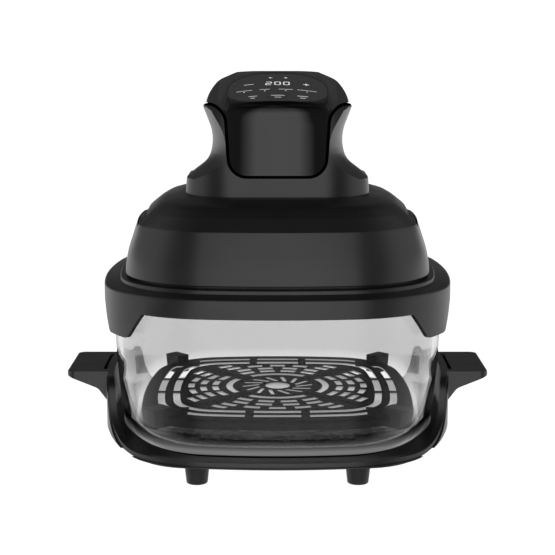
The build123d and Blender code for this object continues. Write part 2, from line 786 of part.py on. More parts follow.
@cache
def dome_form(inset, bottom):
    """The dome's outer form, drawn in by an inset and cut at a bottom height."""
    core = CORE_HALF
    roof = ROOF_Z - inset
    wall = ring(
        (core, bottom),
        (DOME_HALF - inset, bottom, DOME_FOOT_RADIUS),
        (DOME_BEND_HALF - inset, DOME_BEND_Z, DOME_BEND_RADIUS),
        (BEVEL_LOW_HALF - inset, BEVEL_LOW_Z - inset * BEVEL_LOW_DROP, BEVEL_EDGE_RADIUS),
        (
            BEVEL_HIGH_HALF - inset * BEVEL_HIGH_DRAW,
            BEVEL_HIGH_Z - inset * BEVEL_HIGH_DROP,
            BEVEL_EDGE_RADIUS,
        ),
        (SHOULDER_HALF - inset * SHOULDER_DRAW, SHOULDER_Z - inset * SHOULDER_DROP, SHOULDER_RADIUS),
        (ROOF_HALF, roof, ROOF_RADIUS),
        (core, roof),
    )
    return wall + plan_slab(core + 1, bottom, roof)


def top_frame():
    """Plane of the tilted top, at the middle of the display."""
    tilt = math.radians(TOP_TILT)
    z = TOP_FRONT_Z + (LENS_CENTRE_Y - TOP_FRONT_Y) * math.tan(tilt)
    return Plane(origin=(0, LENS_CENTRE_Y, z), x_dir=(1, 0, 0), z_dir=(0, -math.sin(tilt), math.cos(tilt)))


@cache
def neck_form(inset=0.0):
    """Neck and handle: a tapered block with a scoop at each side and a tilted, crowned top."""
    base = Pos(0, 0, NECK_BASE_Z) * RectangleRounded(
        2 * (NECK_BASE_HALF_X - inset), 2 * (NECK_BASE_HALF_Y - inset), NECK_BASE_CORNER - inset
    )
    head = Pos(0, 0, NECK_TOP_Z) * RectangleRounded(
        2 * (NECK_TOP_HALF_X - inset), 2 * (NECK_TOP_HALF_Y - inset), NECK_TOP_CORNER - inset
    )
    form = loft([base, head], ruled=True)
    side = outline(
        (-SCOOP_AXIS, NECK_BASE_Z - 1),
        (PLAN_HALF, NECK_BASE_Z - 1),
        (PLAN_HALF, LIP_Z - inset),
        (LIP_HALF - inset, LIP_Z - inset),
        (GRIP_LOW_HALF - inset, GRIP_LOW_Z - inset / 2, GRIP_LOW_RADIUS),
        (GRIP_WAIST_HALF - inset, GRIP_WAIST_Z, GRIP_WAIST_RADIUS),
        (GRIP_HEAD_HALF - inset, GRIP_HEAD_Z, GRIP_HEAD_RADIUS),
        (CHEEK_HALF - inset, CHEEK_Z - inset / 2, CHEEK_RADIUS),
        (CREST_HALF, NECK_TOP_Z + 2),
        (-SCOOP_AXIS, NECK_TOP_Z + 2),
    )
    scoop = revolve(Plane.XZ * side, Axis((-SCOOP_AXIS, 0, 0), (0, 0, 1)))
    form = form & scoop
    form = form & mirror(scoop, about=Plane.YZ)
    rise = math.tan(math.radians(TOP_TILT))
    ridge_z = TOP_FRONT_Z + (TOP_RIDGE_Y - TOP_FRONT_Y) * rise
    profile = outline(
        (-FAR, -FAR),
        (-FAR, BROW_Z - inset - (FAR + BROW_Y)),
        (BROW_Y, BROW_Z - inset),
        (TOP_FRONT_Y, TOP_FRONT_Z - inset, BROW_RADIUS),
        (TOP_RIDGE_Y, ridge_z - inset, TOP_RIDGE_RADIUS),
        (TOP_BACK_Y - inset, TOP_BACK_Z - inset),
        (TOP_BACK_Y - inset, -FAR),
    )
    form = form & extrude(Plane.YZ * profile, FAR, both=True)
    radius = CROWN_RADIUS - inset
    crown = top_frame() * (Pos(0, 0, -CROWN_RADIUS) * Rot(90, 0, 0) * Cylinder(radius, 2 * FAR))
    return form & crown


def cap_mask(grow=0.0):
    """Where the gloss cap shows: the whole top and an apron down the front, grown by a margin."""
    seam = CAP_SEAM_Z - grow
    low = APRON_BOTTOM_Z - grow
    bottom_half = APRON_BOTTOM_HALF + grow
    top_half = APRON_TOP_HALF + grow
    apron = outline(
        (-FAR, seam),
        (-top_half, seam, APRON_TOP_RADIUS - grow),
        (-bottom_half, low, APRON_BOTTOM_RADIUS + grow),
        (bottom_half, low, APRON_BOTTOM_RADIUS + grow),
        (top_half, seam, APRON_TOP_RADIUS - grow),
        (FAR, seam),
        (FAR, FAR),
        (-FAR, FAR),
    )
    front = extrude(Plane.XZ * apron, FAR)
    return front + block((-FAR, 0, seam), (FAR, FAR, FAR))


def lens_prism(grow, low, high):
    """Upright prism of the display window's outline, square to the tilted top."""
    shape = RectangleRounded(LENS_WIDTH + 2 * grow, LENS_LENGTH + 2 * grow, LENS_CORNER + grow)
    return top_frame() * (Pos(0, 0, low) * extrude(shape, high - low))


def display_post_places():
    """Four places of the display board's posts, in the plane of the tilted top."""
    return four_ways(DISPLAY_POST_X, DISPLAY_POST_Y)


def display_posts(low, high):
    """The display board's posts, as rods square to the tilted top."""
    post = tube(DISPLAY_POST_RADIUS, 0, low, high)
    return [top_frame() * (Pos(x, y, 0) * post) for x, y in display_post_places()]


def make_handle_cap():
    shell = (neck_form() & cap_mask()) - neck_form(CAP_WALL)
    pocket = lens_prism(LENS_GAP, -CROWN_RADIUS, CROWN_RADIUS) - neck_form(LENS_THICKNESS + LENS_GAP)
    shell -= pocket
    shell -= lens_prism(-LENS_LEDGE, -CROWN_RADIUS, CROWN_RADIUS)
    skin = neck_form(CAP_WALL - SEAT_GAP)
    for post in display_posts(-DISPLAY_BOARD_DEPTH, 0):
        shell += post & skin
    pilot = tube(SCREW_RADIUS + PIN_FIT, 0, -DISPLAY_BOARD_DEPTH - 1, -DISPLAY_PILOT_STOP)
    for x, y in display_post_places():
        shell -= top_frame() * (Pos(x, y, 0) * pilot)
    return shell


def make_display_lens():
    return (neck_form() - neck_form(LENS_THICKNESS)) & lens_prism(0, -LENS_WIDTH, LENS_WIDTH)


def vent_window(side, margin):
    """Prism through the bevel of the dome at one side, drawn in by a margin."""
    middle_half = (BEVEL_LOW_HALF + BEVEL_HIGH_HALF) / 2
    middle_z = (BEVEL_LOW_Z + BEVEL_HIGH_Z) / 2
    run = BEVEL_LOW_HALF - BEVEL_HIGH_HALF
    rise = BEVEL_HIGH_Z - BEVEL_LOW_Z
    width = math.hypot(run, rise) - 2 * VENT_MARGIN - 2 * margin
    facing = Plane(origin=(middle_half, 0, middle_z), x_dir=(0, 1, 0), z_dir=(rise, 0, run))
    length = 2 * (VENT_HALF_LENGTH - margin)
    prism = extrude(facing * Rectangle(length, width), VENT_DEPTH, both=True)
    if side < 0:
        prism = mirror(prism, about=Plane.YZ)
    return prism


def make_vent_grille(side):
    sheet = dome_form(GRILLE_INSET, DOME_BOTTOM)
    sheet -= dome_form(GRILLE_INSET + GRILLE_THICKNESS, DOME_BOTTOM - 1)
    sheet = sheet & vent_window(side, GRILLE_GAP)
    count = int(VENT_HALF_LENGTH / GRILLE_BAR_PITCH) - 1
    for index in range(-count, count + 1):
        middle = index * GRILLE_BAR_PITCH
        low = middle - GRILLE_SLOT_WIDTH / 2
        high = middle + GRILLE_SLOT_WIDTH / 2
        sheet -= vent_window(side, GRILLE_BORDER) & block((-FAR, low, 0), (FAR, high, FAR))
    return sheet


def make_head_housing():
    inset = CAP_WALL + SEAT_GAP
    above = top_frame() * block((-FAR, -FAR, -CAP_COLLAR_DEPTH), (FAR, FAR, FAR))
    above += block((-FAR, -FAR, CAP_COLLAR_TOP), (FAR, FAR, FAR))
    neck = (neck_form() - cap_mask(CAP_GROOVE)) + (neck_form(inset) - above)
    body = dome_form(0, DOME_BOTTOM) + neck
    cavity = dome_form(DOME_WALL, DOME_BOTTOM - 1)
    cavity += neck_form(inset + NECK_WALL)
    shell = body - cavity
    flange = plan_slab(DOME_HALF - DOME_WALL / 2, DOME_BOTTOM, DOME_BOTTOM + DOME_WALL)
    flange += plan_slab(TONGUE_HALF, WEB_TOP, DOME_BOTTOM + DOME_WALL)
    flange -= plan_slab(TONGUE_HALF - TONGUE_WIDTH, WEB_TOP - 1, DOME_BOTTOM + DOME_WALL + 1)
    shell += flange
    inner_form = dome_form(DOME_WALL / 2, DOME_BOTTOM)
    for x, y in four_ways(DOME_BOSS_PLACE, DOME_BOSS_PLACE):
        boss = Pos(x, y, 0) * tube(DOME_BOSS_RADIUS, 0, DOME_BOTTOM, ROOF_Z)
        shell += boss & inner_form
        shell += Pos(x, y, 0) * tube(DOME_BOSS_RADIUS, 0, WEB_TOP, DOME_BOTTOM + 1)
        shell -= screw_hole(WEB_TOP - 1, HOUSING_PILOT_TOP, (x, y))
    for side in (-1, 1):
        shell -= vent_window(side, 0)
    return shell - gland_rod(GLAND_RADIUS + PIN_FIT, 0, FAR)


def make_housing_screws():
    return screws_at(four_ways(DOME_BOSS_PLACE, DOME_BOSS_PLACE), WEB_BOTTOM, HOUSING_SCREW_LENGTH)


def gland_rod(radius, low_y, high_y):
    """A rod along Y at the cord gland's height."""
    rod = extrude(Plane.XZ * Circle(radius), -(high_y - low_y))
    return Pos(0, low_y, GLAND_Z) * rod


def make_cord_gland():
    """A rubber bush snapped into the rear wall of the dome, with its bore for the cord."""
    inner_y = DOME_BEND_HALF - GLAND_LENGTH / 2
    outer_y = DOME_BEND_HALF + GLAND_LENGTH / 2
    wall = dome_form(0, DOME_BOTTOM) - dome_form(DOME_WALL, DOME_BOTTOM - 1)
    wall -= gland_rod(GLAND_RADIUS + PIN_FIT, 0, FAR)
    bush = gland_rod(GLAND_RADIUS, inner_y, outer_y)
    bush += gland_rod(GLAND_FLANGE_RADIUS, DOME_BEND_HALF - GLAND_FLANGE, DOME_HALF + GLAND_FLANGE)
    return bush - gland_rod(GLAND_BORE, 0, FAR) - wall


# Heating chamber


def guard_screw_places():
    """Four places on the flange circle of the pan."""
    place = (WEB_OPENING_RADIUS + PAN_FLANGE_RADIUS) / 2 * math.sqrt(0.5)
    return four_ways(place, place)


def bracket_leg_places():
    """Four places of the motor bracket's legs."""
    reach = BRACKET_LEG_PLACE
    return [(reach, 0), (0, reach), (-reach, 0), (0, -reach)]


def make_reflector_pan():
    flange_low = WEB_BOTTOM - PAN_SHEET
    pan = turned(
        (PAN_FLANGE_RADIUS, flange_low),
        (PAN_FLANGE_RADIUS, WEB_BOTTOM),
        (PAN_RADIUS, WEB_BOTTOM, PAN_SHEET / 2),
        (PAN_RADIUS - PAN_DRAFT, PAN_TOP, PAN_EDGE_RADIUS),
        (PAN_SHAFT_HOLE, PAN_TOP),
        (PAN_SHAFT_HOLE, PAN_TOP - PAN_SHEET),
        (PAN_RADIUS - PAN_DRAFT - PAN_SHEET, PAN_TOP - PAN_SHEET, PAN_EDGE_RADIUS - PAN_SHEET),
        (PAN_RADIUS - PAN_SHEET, flange_low),
    )
    for place in guard_screw_places():
        pan -= screw_hole(flange_low - 1, WEB_BOTTOM + 1, place)
    for place in bracket_leg_places():
        pan -= screw_hole(PAN_TOP - 2 * PAN_SHEET, PAN_TOP + 1, place)
    for place in coil_leg_places():
        pan -= Pos(*place, 0) * tube(COIL_TUBE_RADIUS + PIN_FIT, 0, PAN_TOP - 2 * PAN_SHEET, PAN_TOP + 1)
    pan -= Pos(*SENSOR_PLACE, 0) * tube(SENSOR_RADIUS + PIN_FIT, 0, PAN_TOP - 2 * PAN_SHEET, PAN_TOP + 1)
    return pan


def make_fan_guard():
    """Flat guard plate with rings of slots between its spokes."""
    top = WEB_BOTTOM - PAN_SHEET
    guard = tube(PAN_FLANGE_RADIUS, 0, top - GUARD_THICKNESS, top)
    slots = Sketch()
    for index in range(GUARD_RING_COUNT):
        radius = GUARD_RING_START + index * GUARD_RING_PITCH
        slots += Circle(radius + GUARD_RING_WIDTH / 2) - Circle(radius - GUARD_RING_WIDTH / 2)
    for index in range(GUARD_SPOKES):
        spoke = Pos(PAN_FLANGE_RADIUS / 2, 0) * Rectangle(PAN_FLANGE_RADIUS, GUARD_SPOKE_WIDTH)
        slots -= Rot(0, 0, 360 * index / GUARD_SPOKES) * spoke
    guard -= Pos(0, 0, top - 2 * GUARD_THICKNESS) * extrude(slots, 3 * GUARD_THICKNESS)
    for place in guard_screw_places():
        guard -= screw_hole(top - 2 * GUARD_THICKNESS, top + 1, place)
    return guard


def make_guard_screws():
    z = WEB_BOTTOM - PAN_SHEET - GUARD_THICKNESS
    return screws_at(guard_screw_places(), z, GUARD_SCREW_LENGTH)


def coil_leg_places():
    """Where the coil's two legs rise through the pan."""
    return [(COIL_RADIUS, -COIL_BEND), (COIL_RADIUS - 2 * COIL_PITCH, COIL_BEND)]


def make_heater_coil():
    """Two turns of tube in half circles, with both ends bent up through the pan."""
    z = COIL_Z
    edges = []
    x = COIL_RADIUS
    facing = 1
    for index in range(4):
        radius = COIL_RADIUS - index * COIL_PITCH / 2
        centre = x - facing * radius
        other = centre - facing * radius
        edges.append(ThreePointArc((x, 0, z), (centre, facing * radius, z), (other, 0, z)))
        x = other
        facing = -facing
    bend = COIL_BEND
    bow = bend * (1 - math.sqrt(0.5))
    start = COIL_RADIUS
    leg_in = Line((start, -bend, COIL_LEG_TOP), (start, -bend, z + bend))
    bend_in = ThreePointArc((start, -bend, z + bend), (start, -bend + bow, z + bow), (start, 0, z))
    bend_out = ThreePointArc((x, 0, z), (x, bend - bow, z + bow), (x, bend, z + bend))
    leg_out = Line((x, bend, z + bend), (x, bend, COIL_LEG_TOP))
    path = Wire([leg_in.edge(), bend_in.edge(), *[e.edge() for e in edges], bend_out.edge(), leg_out.edge()])
    return sweep(Pos(start, -bend, COIL_LEG_TOP) * Circle(COIL_TUBE_RADIUS), path=path)


def coil_clip(angle, centre_x, outer_radius):
    """A hanger under the pan with two eyes for the coil's tube."""
    half = CLIP_THICKNESS / 2
    inner_radius = outer_radius - COIL_PITCH
    low = COIL_Z - CLIP_DROP
    corner = (outer_radius + CLIP_DROP, half, PAN_TOP - PAN_SHEET)
    plate = block((inner_radius - CLIP_DROP, -half, low), corner)
    for radius in (inner_radius, outer_radius):
        eye = extrude(Plane.XZ * Circle(COIL_TUBE_RADIUS + PIN_FIT), CLIP_THICKNESS, both=True)
        plate -= Pos(radius, 0, COIL_Z) * eye
    return Pos(centre_x, 0, 0) * Rot(0, 0, angle) * plate


def make_heater_clips():
    """Three hangers: two on the rear half turns and one on the front ones."""
    rear = [coil_clip(angle, 0, COIL_RADIUS) for angle in (45, 135)]
    front = coil_clip(270, -COIL_PITCH / 2, COIL_RADIUS - COIL_PITCH / 2)
    return Compound(children=[*rear, front])


# Fans, shaft and motor


def blades(count, inner, outer, low, high, lean):
    """Flat blades round the upright axis, each leaning back from the radius."""
    half = FAN_BLADE_THICKNESS / 2
    blade = block((0, -half, low), (outer - inner - FAN_BLADE_MARGIN, half, high))
    blade = Pos(inner, 0, 0) * Rot(0, 0, lean) * blade
    return [Rot(0, 0, 360 * index / count) * blade for index in range(count)]


def shaft_bore():
    """The shaft's clearance, from the floor to past the top."""
    return tube(SHAFT_RADIUS + PIN_FIT, 0, 0, FAR)


def make_convection_fan():
    disc_low = FAN_DISC_TOP - FAN_DISC
    fan = tube(FAN_RADIUS, 0, disc_low, FAN_DISC_TOP)
    fan += tube(FAN_HUB_RADIUS, 0, SHAFT_BOTTOM + NUT_HEIGHT, FAN_DISC_TOP + FAN_HUB_RISE)
    low = disc_low - FAN_BLADE_HEIGHT
    high = disc_low + FAN_DISC / 2
    for blade in blades(FAN_BLADES, FAN_BLADE_INNER, FAN_RADIUS, low, high, FAN_BLADE_LEAN):
        fan += blade
    return fan - shaft_bore()


def make_fan_nut():
    hexagon = RegularPolygon(NUT_WIDTH / 2, 6, major_radius=False)
    return Pos(0, 0, SHAFT_BOTTOM) * extrude(hexagon, NUT_HEIGHT) - shaft_bore()


def make_cooling_fan():
    top = COOLER_BOTTOM + COOLER_HEIGHT
    fan = tube(COOLER_RADIUS, 0, top - FAN_DISC, top)
    fan += tube(COOLER_HUB_RADIUS, 0, COOLER_BOTTOM, top)
    high = top - FAN_DISC / 2
    inner = COOLER_BLADE_INNER
    for blade in blades(COOLER_BLADES, inner, COOLER_RADIUS, COOLER_BOTTOM, high, COOLER_BLADE_LEAN):
        fan += blade
    return fan - shaft_bore()


def make_motor_shaft():
    rod = tube(SHAFT_RADIUS, 0, SHAFT_BOTTOM, SHAFT_TOP)
    return chamfer(rod.edges().filter_by(GeomType.CIRCLE), SHAFT_CHAMFER)


def make_motor_bracket():
    plate = tube(BRACKET_RADIUS, BRACKET_HOLE, BRACKET_Z, BRACKET_Z + BRACKET_SHEET)
    for x, y in bracket_leg_places():
        plate += Pos(x, y, 0) * tube(BRACKET_LEG_RADIUS, 0, PAN_TOP, BRACKET_Z + BRACKET_SHEET / 2)
        plate -= screw_hole(PAN_TOP - 1, PAN_TOP + BRACKET_SCREW_LENGTH, (x, y))
    return plate


def make_bracket_screws():
    return screws_at(bracket_leg_places(), PAN_TOP - PAN_SHEET, BRACKET_SCREW_LENGTH)


def motor_levels():
    """Bottom and top of the motor's can."""
    bottom = BRACKET_Z + BRACKET_SHEET
    return bottom, bottom + MOTOR_HEIGHT


def make_motor_housing():
    bottom, top = motor_levels()
    can = tube(MOTOR_RADIUS, 0, bottom, top)
    can = fillet(can.edges().group_by(Axis.Z)[-1], MOTOR_EDGE_RADIUS)
    can -= tube(MOTOR_RADIUS - MOTOR_WALL, 0, bottom + MOTOR_WALL, top - MOTOR_WALL)
    return can - tube(BEARING_RADIUS, 0, bottom - 1, top + 1)


def make_bearing(upper):
    bottom, top = motor_levels()
    low = top - MOTOR_WALL if upper else bottom - BEARING_HEIGHT + MOTOR_WALL
    return tube(BEARING_RADIUS, SHAFT_RADIUS + PIN_FIT, low, low + BEARING_HEIGHT)


def make_motor_stator():
    bottom, top = motor_levels()
    middle = (bottom + top) / 2
    low = middle - STATOR_HEIGHT / 2
    core = tube(MOTOR_RADIUS - MOTOR_WALL, ROTOR_RADIUS + AIR_GAP, low, low + STATOR_HEIGHT)
    slot = Pos(STATOR_SLOT_PLACE, 0, 0) * tube(STATOR_SLOT_RADIUS, 0, low - 1, low + STATOR_HEIGHT + 1)
    for index in range(STATOR_SLOTS):
        core -= Rot(0, 0, 360 * index / STATOR_SLOTS) * slot
    return core


def make_motor_rotor():
    bottom, top = motor_levels()
    middle = (bottom + top) / 2
    half = STATOR_HEIGHT / 2 + 1
    return tube(ROTOR_RADIUS, SHAFT_RADIUS + PIN_FIT, middle - half, middle + half)


# Electronics


def make_power_board():
    shape = Rectangle(POWER_BOARD_X, POWER_BOARD_Y)
    return Pos(0, 0, POWER_BOARD_Z) * extrude(shape, BOARD_THICKNESS)


def make_board_standoffs():
    low = BRACKET_Z + BRACKET_SHEET
    post = tube(STANDOFF_RADIUS, 0, low, POWER_BOARD_Z)
    return Compound(children=[Pos(x, y, 0) * post for x, y in four_ways(STANDOFF_X, STANDOFF_Y)])


def make_board_components():
    """Relay, transformer and driver as blocks, then two capacitors as cans."""
    low = POWER_BOARD_Z + BOARD_THICKNESS
    parts = []
    for x, y, length, width, height in BOARD_BLOCKS:
        parts.append(block((x, y, low), (x + length, y + width, low + height)))
    for x, y, radius, height in BOARD_CANS:
        parts.append(Pos(x, y, 0) * tube(radius, 0, low, low + height))
    return Compound(children=parts)


def make_display_board():
    shape = RectangleRounded(DISPLAY_BOARD_WIDTH, DISPLAY_BOARD_LENGTH, DISPLAY_BOARD_CORNER)
    board = Pos(0, 0, -DISPLAY_BOARD_DEPTH - BOARD_THICKNESS) * extrude(shape, BOARD_THICKNESS)
    for place in display_post_places():
        board -= screw_hole(-2 * DISPLAY_BOARD_DEPTH, 0, place)
    return top_frame() * board


def make_light_guide():
    shape = Rectangle(GUIDE_WIDTH, GUIDE_LENGTH)
    guide = Pos(0, 0, -DISPLAY_BOARD_DEPTH) * extrude(shape, DISPLAY_BOARD_DEPTH)
    return (top_frame() * guide) & neck_form(LENS_THICKNESS + SEAT_GAP)


def make_display_screws():
    z = -DISPLAY_BOARD_DEPTH - BOARD_THICKNESS
    level = screws_at(display_post_places(), z, DISPLAY_SCREW_LENGTH)
    return Compound(children=[top_frame() * single for single in level.solids()])


def make_heater_leads():
    """Two insulated leads from the coil's legs up to the power board."""
    leads = []
    for x, y in coil_leg_places():
        side = math.copysign(1, y)
        end_y = y + side * LEAD_SPREAD
        path = FilletPolyline(
            (x, y, COIL_LEG_TOP),
            (x, y, LEAD_RISE_Z),
            (LEAD_SHELF_X - side * LEAD_SPREAD, end_y, LEAD_SHELF_Z),
            (LEAD_END_X, end_y, LEAD_END_Z),
            (LEAD_END_X, end_y, POWER_BOARD_Z),
            radius=LEAD_BEND,
        )
        leads.append(sweep(Pos(x, y, COIL_LEG_TOP) * Circle(LEAD_RADIUS), path=path))
    return Compound(children=leads)


# Safety parts


def make_temperature_sensor():
    probe = tube(SENSOR_RADIUS, 0, PAN_TOP - SENSOR_DROP, PAN_TOP + SENSOR_FLANGE_HEIGHT)
    probe += tube(SENSOR_FLANGE_RADIUS, 0, PAN_TOP, PAN_TOP + SENSOR_FLANGE_HEIGHT)
    return Pos(*SENSOR_PLACE, 0) * probe


def make_thermal_cutoff():
    disc = tube(CUTOFF_RADIUS, 0, PAN_TOP, PAN_TOP + CUTOFF_HEIGHT)
    high = PAN_TOP + CUTOFF_HEIGHT - CUTOFF_TAG
    reach = CUTOFF_RADIUS + 4 * CUTOFF_TAG
    tags = block((-reach, -CUTOFF_TAG, high - CUTOFF_TAG), (reach, CUTOFF_TAG, high))
    return Pos(*CUTOFF_PLACE, 0) * (disc + tags)


def make_interlock_switch():
    low_y = SWITCH_Y
    high_y = SWITCH_Y + SWITCH_DEPTH
    body = block((-SWITCH_HALF_X, low_y, WEB_TOP), (SWITCH_HALF_X, high_y, PLUNGER_TOP))
    lever_end = (PLUNGER_RADIUS, PLUNGER_Y + PLUNGER_RADIUS, PLUNGER_TOP + SWITCH_LEVER)
    return body + block((-PLUNGER_RADIUS, low_y, PLUNGER_TOP), lever_end)


def make_interlock_plunger():
    stem = Pos(0, PLUNGER_Y, 0) * tube(PLUNGER_RADIUS, 0, BOWL_RIM, PLUNGER_TOP)
    reach = BOWL_RIM_HALF - BOWL_WALL / 2
    foot_end = (PLUNGER_FOOT_HALF, reach, BOWL_RIM + PLUNGER_FOOT_HEIGHT)
    return stem + block((-PLUNGER_FOOT_HALF, PLUNGER_Y, BOWL_RIM), foot_end)


def all_parts():
    """Every piece under its node name."""
    parts = {
        "carrier_base": make_carrier_base(),
        "foot_screws": make_foot_screws(),
        "rest_pads": make_rest_pads(),
        "glass_bowl": make_glass_bowl(),
        "crisper_plate": make_crisper_plate(),
        "lower_housing": make_lower_housing(),
        "bowl_gasket": make_bowl_gasket(),
        "head_housing": make_head_housing(),
        "housing_screws": make_housing_screws(),
        "handle_cap": make_handle_cap(),
        "display_lens": make_display_lens(),
        "light_guide": make_light_guide(),
        "display_board": make_display_board(),
        "display_screws": make_display_screws(),
        "vent_grille_left": make_vent_grille(-1),
        "vent_grille_right": make_vent_grille(1),
        "cord_gland": make_cord_gland(),
        "reflector_pan": make_reflector_pan(),
        "fan_guard": make_fan_guard(),
        "guard_screws": make_guard_screws(),
        "heater_coil": make_heater_coil(),
        "heater_clips": make_heater_clips(),
        "heater_leads": make_heater_leads(),
        "convection_fan": make_convection_fan(),
        "fan_nut": make_fan_nut(),
        "cooling_fan": make_cooling_fan(),
        "motor_shaft": make_motor_shaft(),
        "motor_bracket": make_motor_bracket(),
        "bracket_screws": make_bracket_screws(),
        "motor_housing": make_motor_housing(),
        "motor_stator": make_motor_stator(),
        "motor_rotor": make_motor_rotor(),
        "bearing_lower": make_bearing(False),
        "bearing_upper": make_bearing(True),
        "power_board": make_power_board(),
        "board_standoffs": make_board_standoffs(),
        "board_components": make_board_components(),
        "temperature_sensor": make_temperature_sensor(),
        "thermal_cutoff": make_thermal_cutoff(),
        "interlock_switch": make_interlock_switch(),
        "interlock_plunger": make_interlock_plunger(),
    }
    corner_names = ("front_left", "front_right", "rear_left", "rear_right")
    for name, place in zip(corner_names, four_ways(FOOT_X, FOOT_Y)):
        parts["foot_" + name] = make_foot(place)
    for name, place in zip(corner_names, four_ways(BUMPER_PLACE, BUMPER_PLACE)):
        parts["bumper_" + name] = make_bumper(place)
    return parts


os.makedirs("parts", exist_ok=True)
for name, shape in all_parts().items():
    export_step(shape, "parts/" + name + ".step")
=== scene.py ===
import json
import math

import bmesh
import bpy
from bpy.props import FloatProperty, FloatVectorProperty, IntProperty, PointerProperty
from mathutils import Matrix, Vector


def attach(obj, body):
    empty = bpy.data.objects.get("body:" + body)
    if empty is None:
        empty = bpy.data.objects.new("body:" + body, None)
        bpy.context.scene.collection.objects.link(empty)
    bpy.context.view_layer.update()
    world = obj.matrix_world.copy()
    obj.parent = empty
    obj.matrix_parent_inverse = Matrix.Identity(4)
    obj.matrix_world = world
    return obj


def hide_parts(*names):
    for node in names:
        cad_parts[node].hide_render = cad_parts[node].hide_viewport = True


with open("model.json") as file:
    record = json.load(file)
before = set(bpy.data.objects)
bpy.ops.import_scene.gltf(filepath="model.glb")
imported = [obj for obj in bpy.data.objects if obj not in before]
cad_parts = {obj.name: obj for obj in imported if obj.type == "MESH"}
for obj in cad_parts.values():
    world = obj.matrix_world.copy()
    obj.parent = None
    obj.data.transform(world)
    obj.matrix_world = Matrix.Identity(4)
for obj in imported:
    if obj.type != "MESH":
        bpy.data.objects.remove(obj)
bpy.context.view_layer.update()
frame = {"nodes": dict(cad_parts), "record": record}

bl_info = {
    "name": "Glass air fryer",
    "version": (1, 0, 0),
    "blender": (4, 5, 0),
    "location": "View3D > Sidebar > Air fryer",
    "description": "Dresses the CAD part of a glass air fryer with its finishes, display marks and stage",
    "category": "Object",
}

MM = 0.001
NODES = frame["nodes"]
CORNERS = ("front_left", "front_right", "rear_left", "rear_right")

# Triangles of a node are joined where their corners lie closer than this
MERGE_DISTANCE = 0.002 * MM

# Edges that bend less than this, in degrees, are shaded as one surface; the cap is polished rounder
SOFT_EDGE = 28.0
CAP_SMOOTH = 34.0

# The tilted top of the handle, as in the part's source: where the display lies and how it is crowned
TOP_TILT = math.radians(17.0)
TOP_CENTRE = Vector((0.0, -11.9, 313.12)) * MM
CROWN_RADIUS = 215.0 * MM

# The neck's skin between its foot and its head: half width, half depth and corner radius at each
NECK_LOW = 222.0 * MM
NECK_HIGH = 332.0 * MM
NECK_FOOT = (76.5 * MM, 68.4 * MM, 42.0 * MM)
NECK_HEAD = (68.0 * MM, 42.5 * MM, 29.0 * MM)

# The groove round the cap's apron and along its side seams, where shade is painted
APRON_REACH = 40.3 * MM
APRON_FLARE = 0.07
APRON_LOW = 241.0 * MM
SEAM_LOW = 298.2 * MM
GROOVE_SKIN = 0.5 * MM
GROOVE_REACH = 6.0 * MM

# The crisper plate's sheet: a face that spans it inside this half width is the cut edge of a slot, and gets a
# painted glow
PLATE_REACH = 110.0 * MM
PLATE_LOWEST = 53.4 * MM
PLATE_UNDER = 54.4 * MM
PLATE_TOP = 55.4 * MM

# The tray's floor, which the bowl covers and where shade is painted; a face is level when its normal rises
# more than this
TRAY_REACH = 126.0 * MM
TRAY_FLOOR = 21.1 * MM
LEVEL = 0.99

# Painted glow on the bowl's base, an emission that stands in for light, changes between these places from
# front to rear. For its front and its rear it starts and fills at these distances from the axis, fades and
# ends at these heights, and holds these shares of the painted glow's strength
GLOW_PLACES = (-40.0 * MM, 0.0)
GLOW_START = (92.0 * MM, -30.0 * MM)
GLOW_FULL = (110.0 * MM, 0.0)
GLOW_FADE = (31.0 * MM, 42.0 * MM)
GLOW_END = (36.0 * MM, 60.0 * MM)
GLOW_SHARES = (0.3, 1.0)

# Brightness round the studio as (place, value), low and high up; places are shares of a half turn
# from the front
LOW_LIGHT = ((0.0, 1.0), (0.10, 0.95), (0.17, 0.10), (0.28, 0.16), (0.39, 0.60), (1.0, 0.62))
HIGH_LIGHT = (
    (0.0, 1.0), (0.10, 0.95), (0.17, 0.09), (0.33, 0.13), (0.45, 0.6), (0.62, 0.4), (0.8, 0.06)
)

# Where low light turns to high light, and how the ceiling dims; places run from straight down at 0 to
# straight up at 1
HORIZON = ((0.50, 0.0), (0.53, 1.0))
CEILING = ((0.80, 1.0), (0.94, 0.12))

# What the floor throws back, apart from its own glow
FLOOR_GREY = (0.25, 0.25, 0.25, 1.0)

# The camera's sensor in millimetres, and how far it sees in metres
SENSOR_WIDTH = 36.0
VIEW_REACH = 100.0

# Lit segments of a seven-segment digit, named by place
SEGMENTS = {
    0: "top upper_left upper_right lower_left lower_right bottom",
    1: "upper_right lower_right",
    2: "top upper_right middle lower_left bottom",
    3: "top upper_right middle lower_right bottom",
    4: "upper_left upper_right middle lower_right",
    5: "top upper_left middle lower_right bottom",
    6: "top upper_left middle lower_left lower_right bottom",
    7: "top upper_right lower_right",
    8: "top upper_left upper_right middle lower_left lower_right bottom",
    9: "top upper_left upper_right middle lower_right bottom",
}

# A digit's width for its height, and the step between digits in strokes past a digit's width
DIGIT_ASPECT = 0.62
DIGIT_STEP = 2.6

# How much shorter than its place a segment is, in strokes
SEGMENT_GAP = 0.3

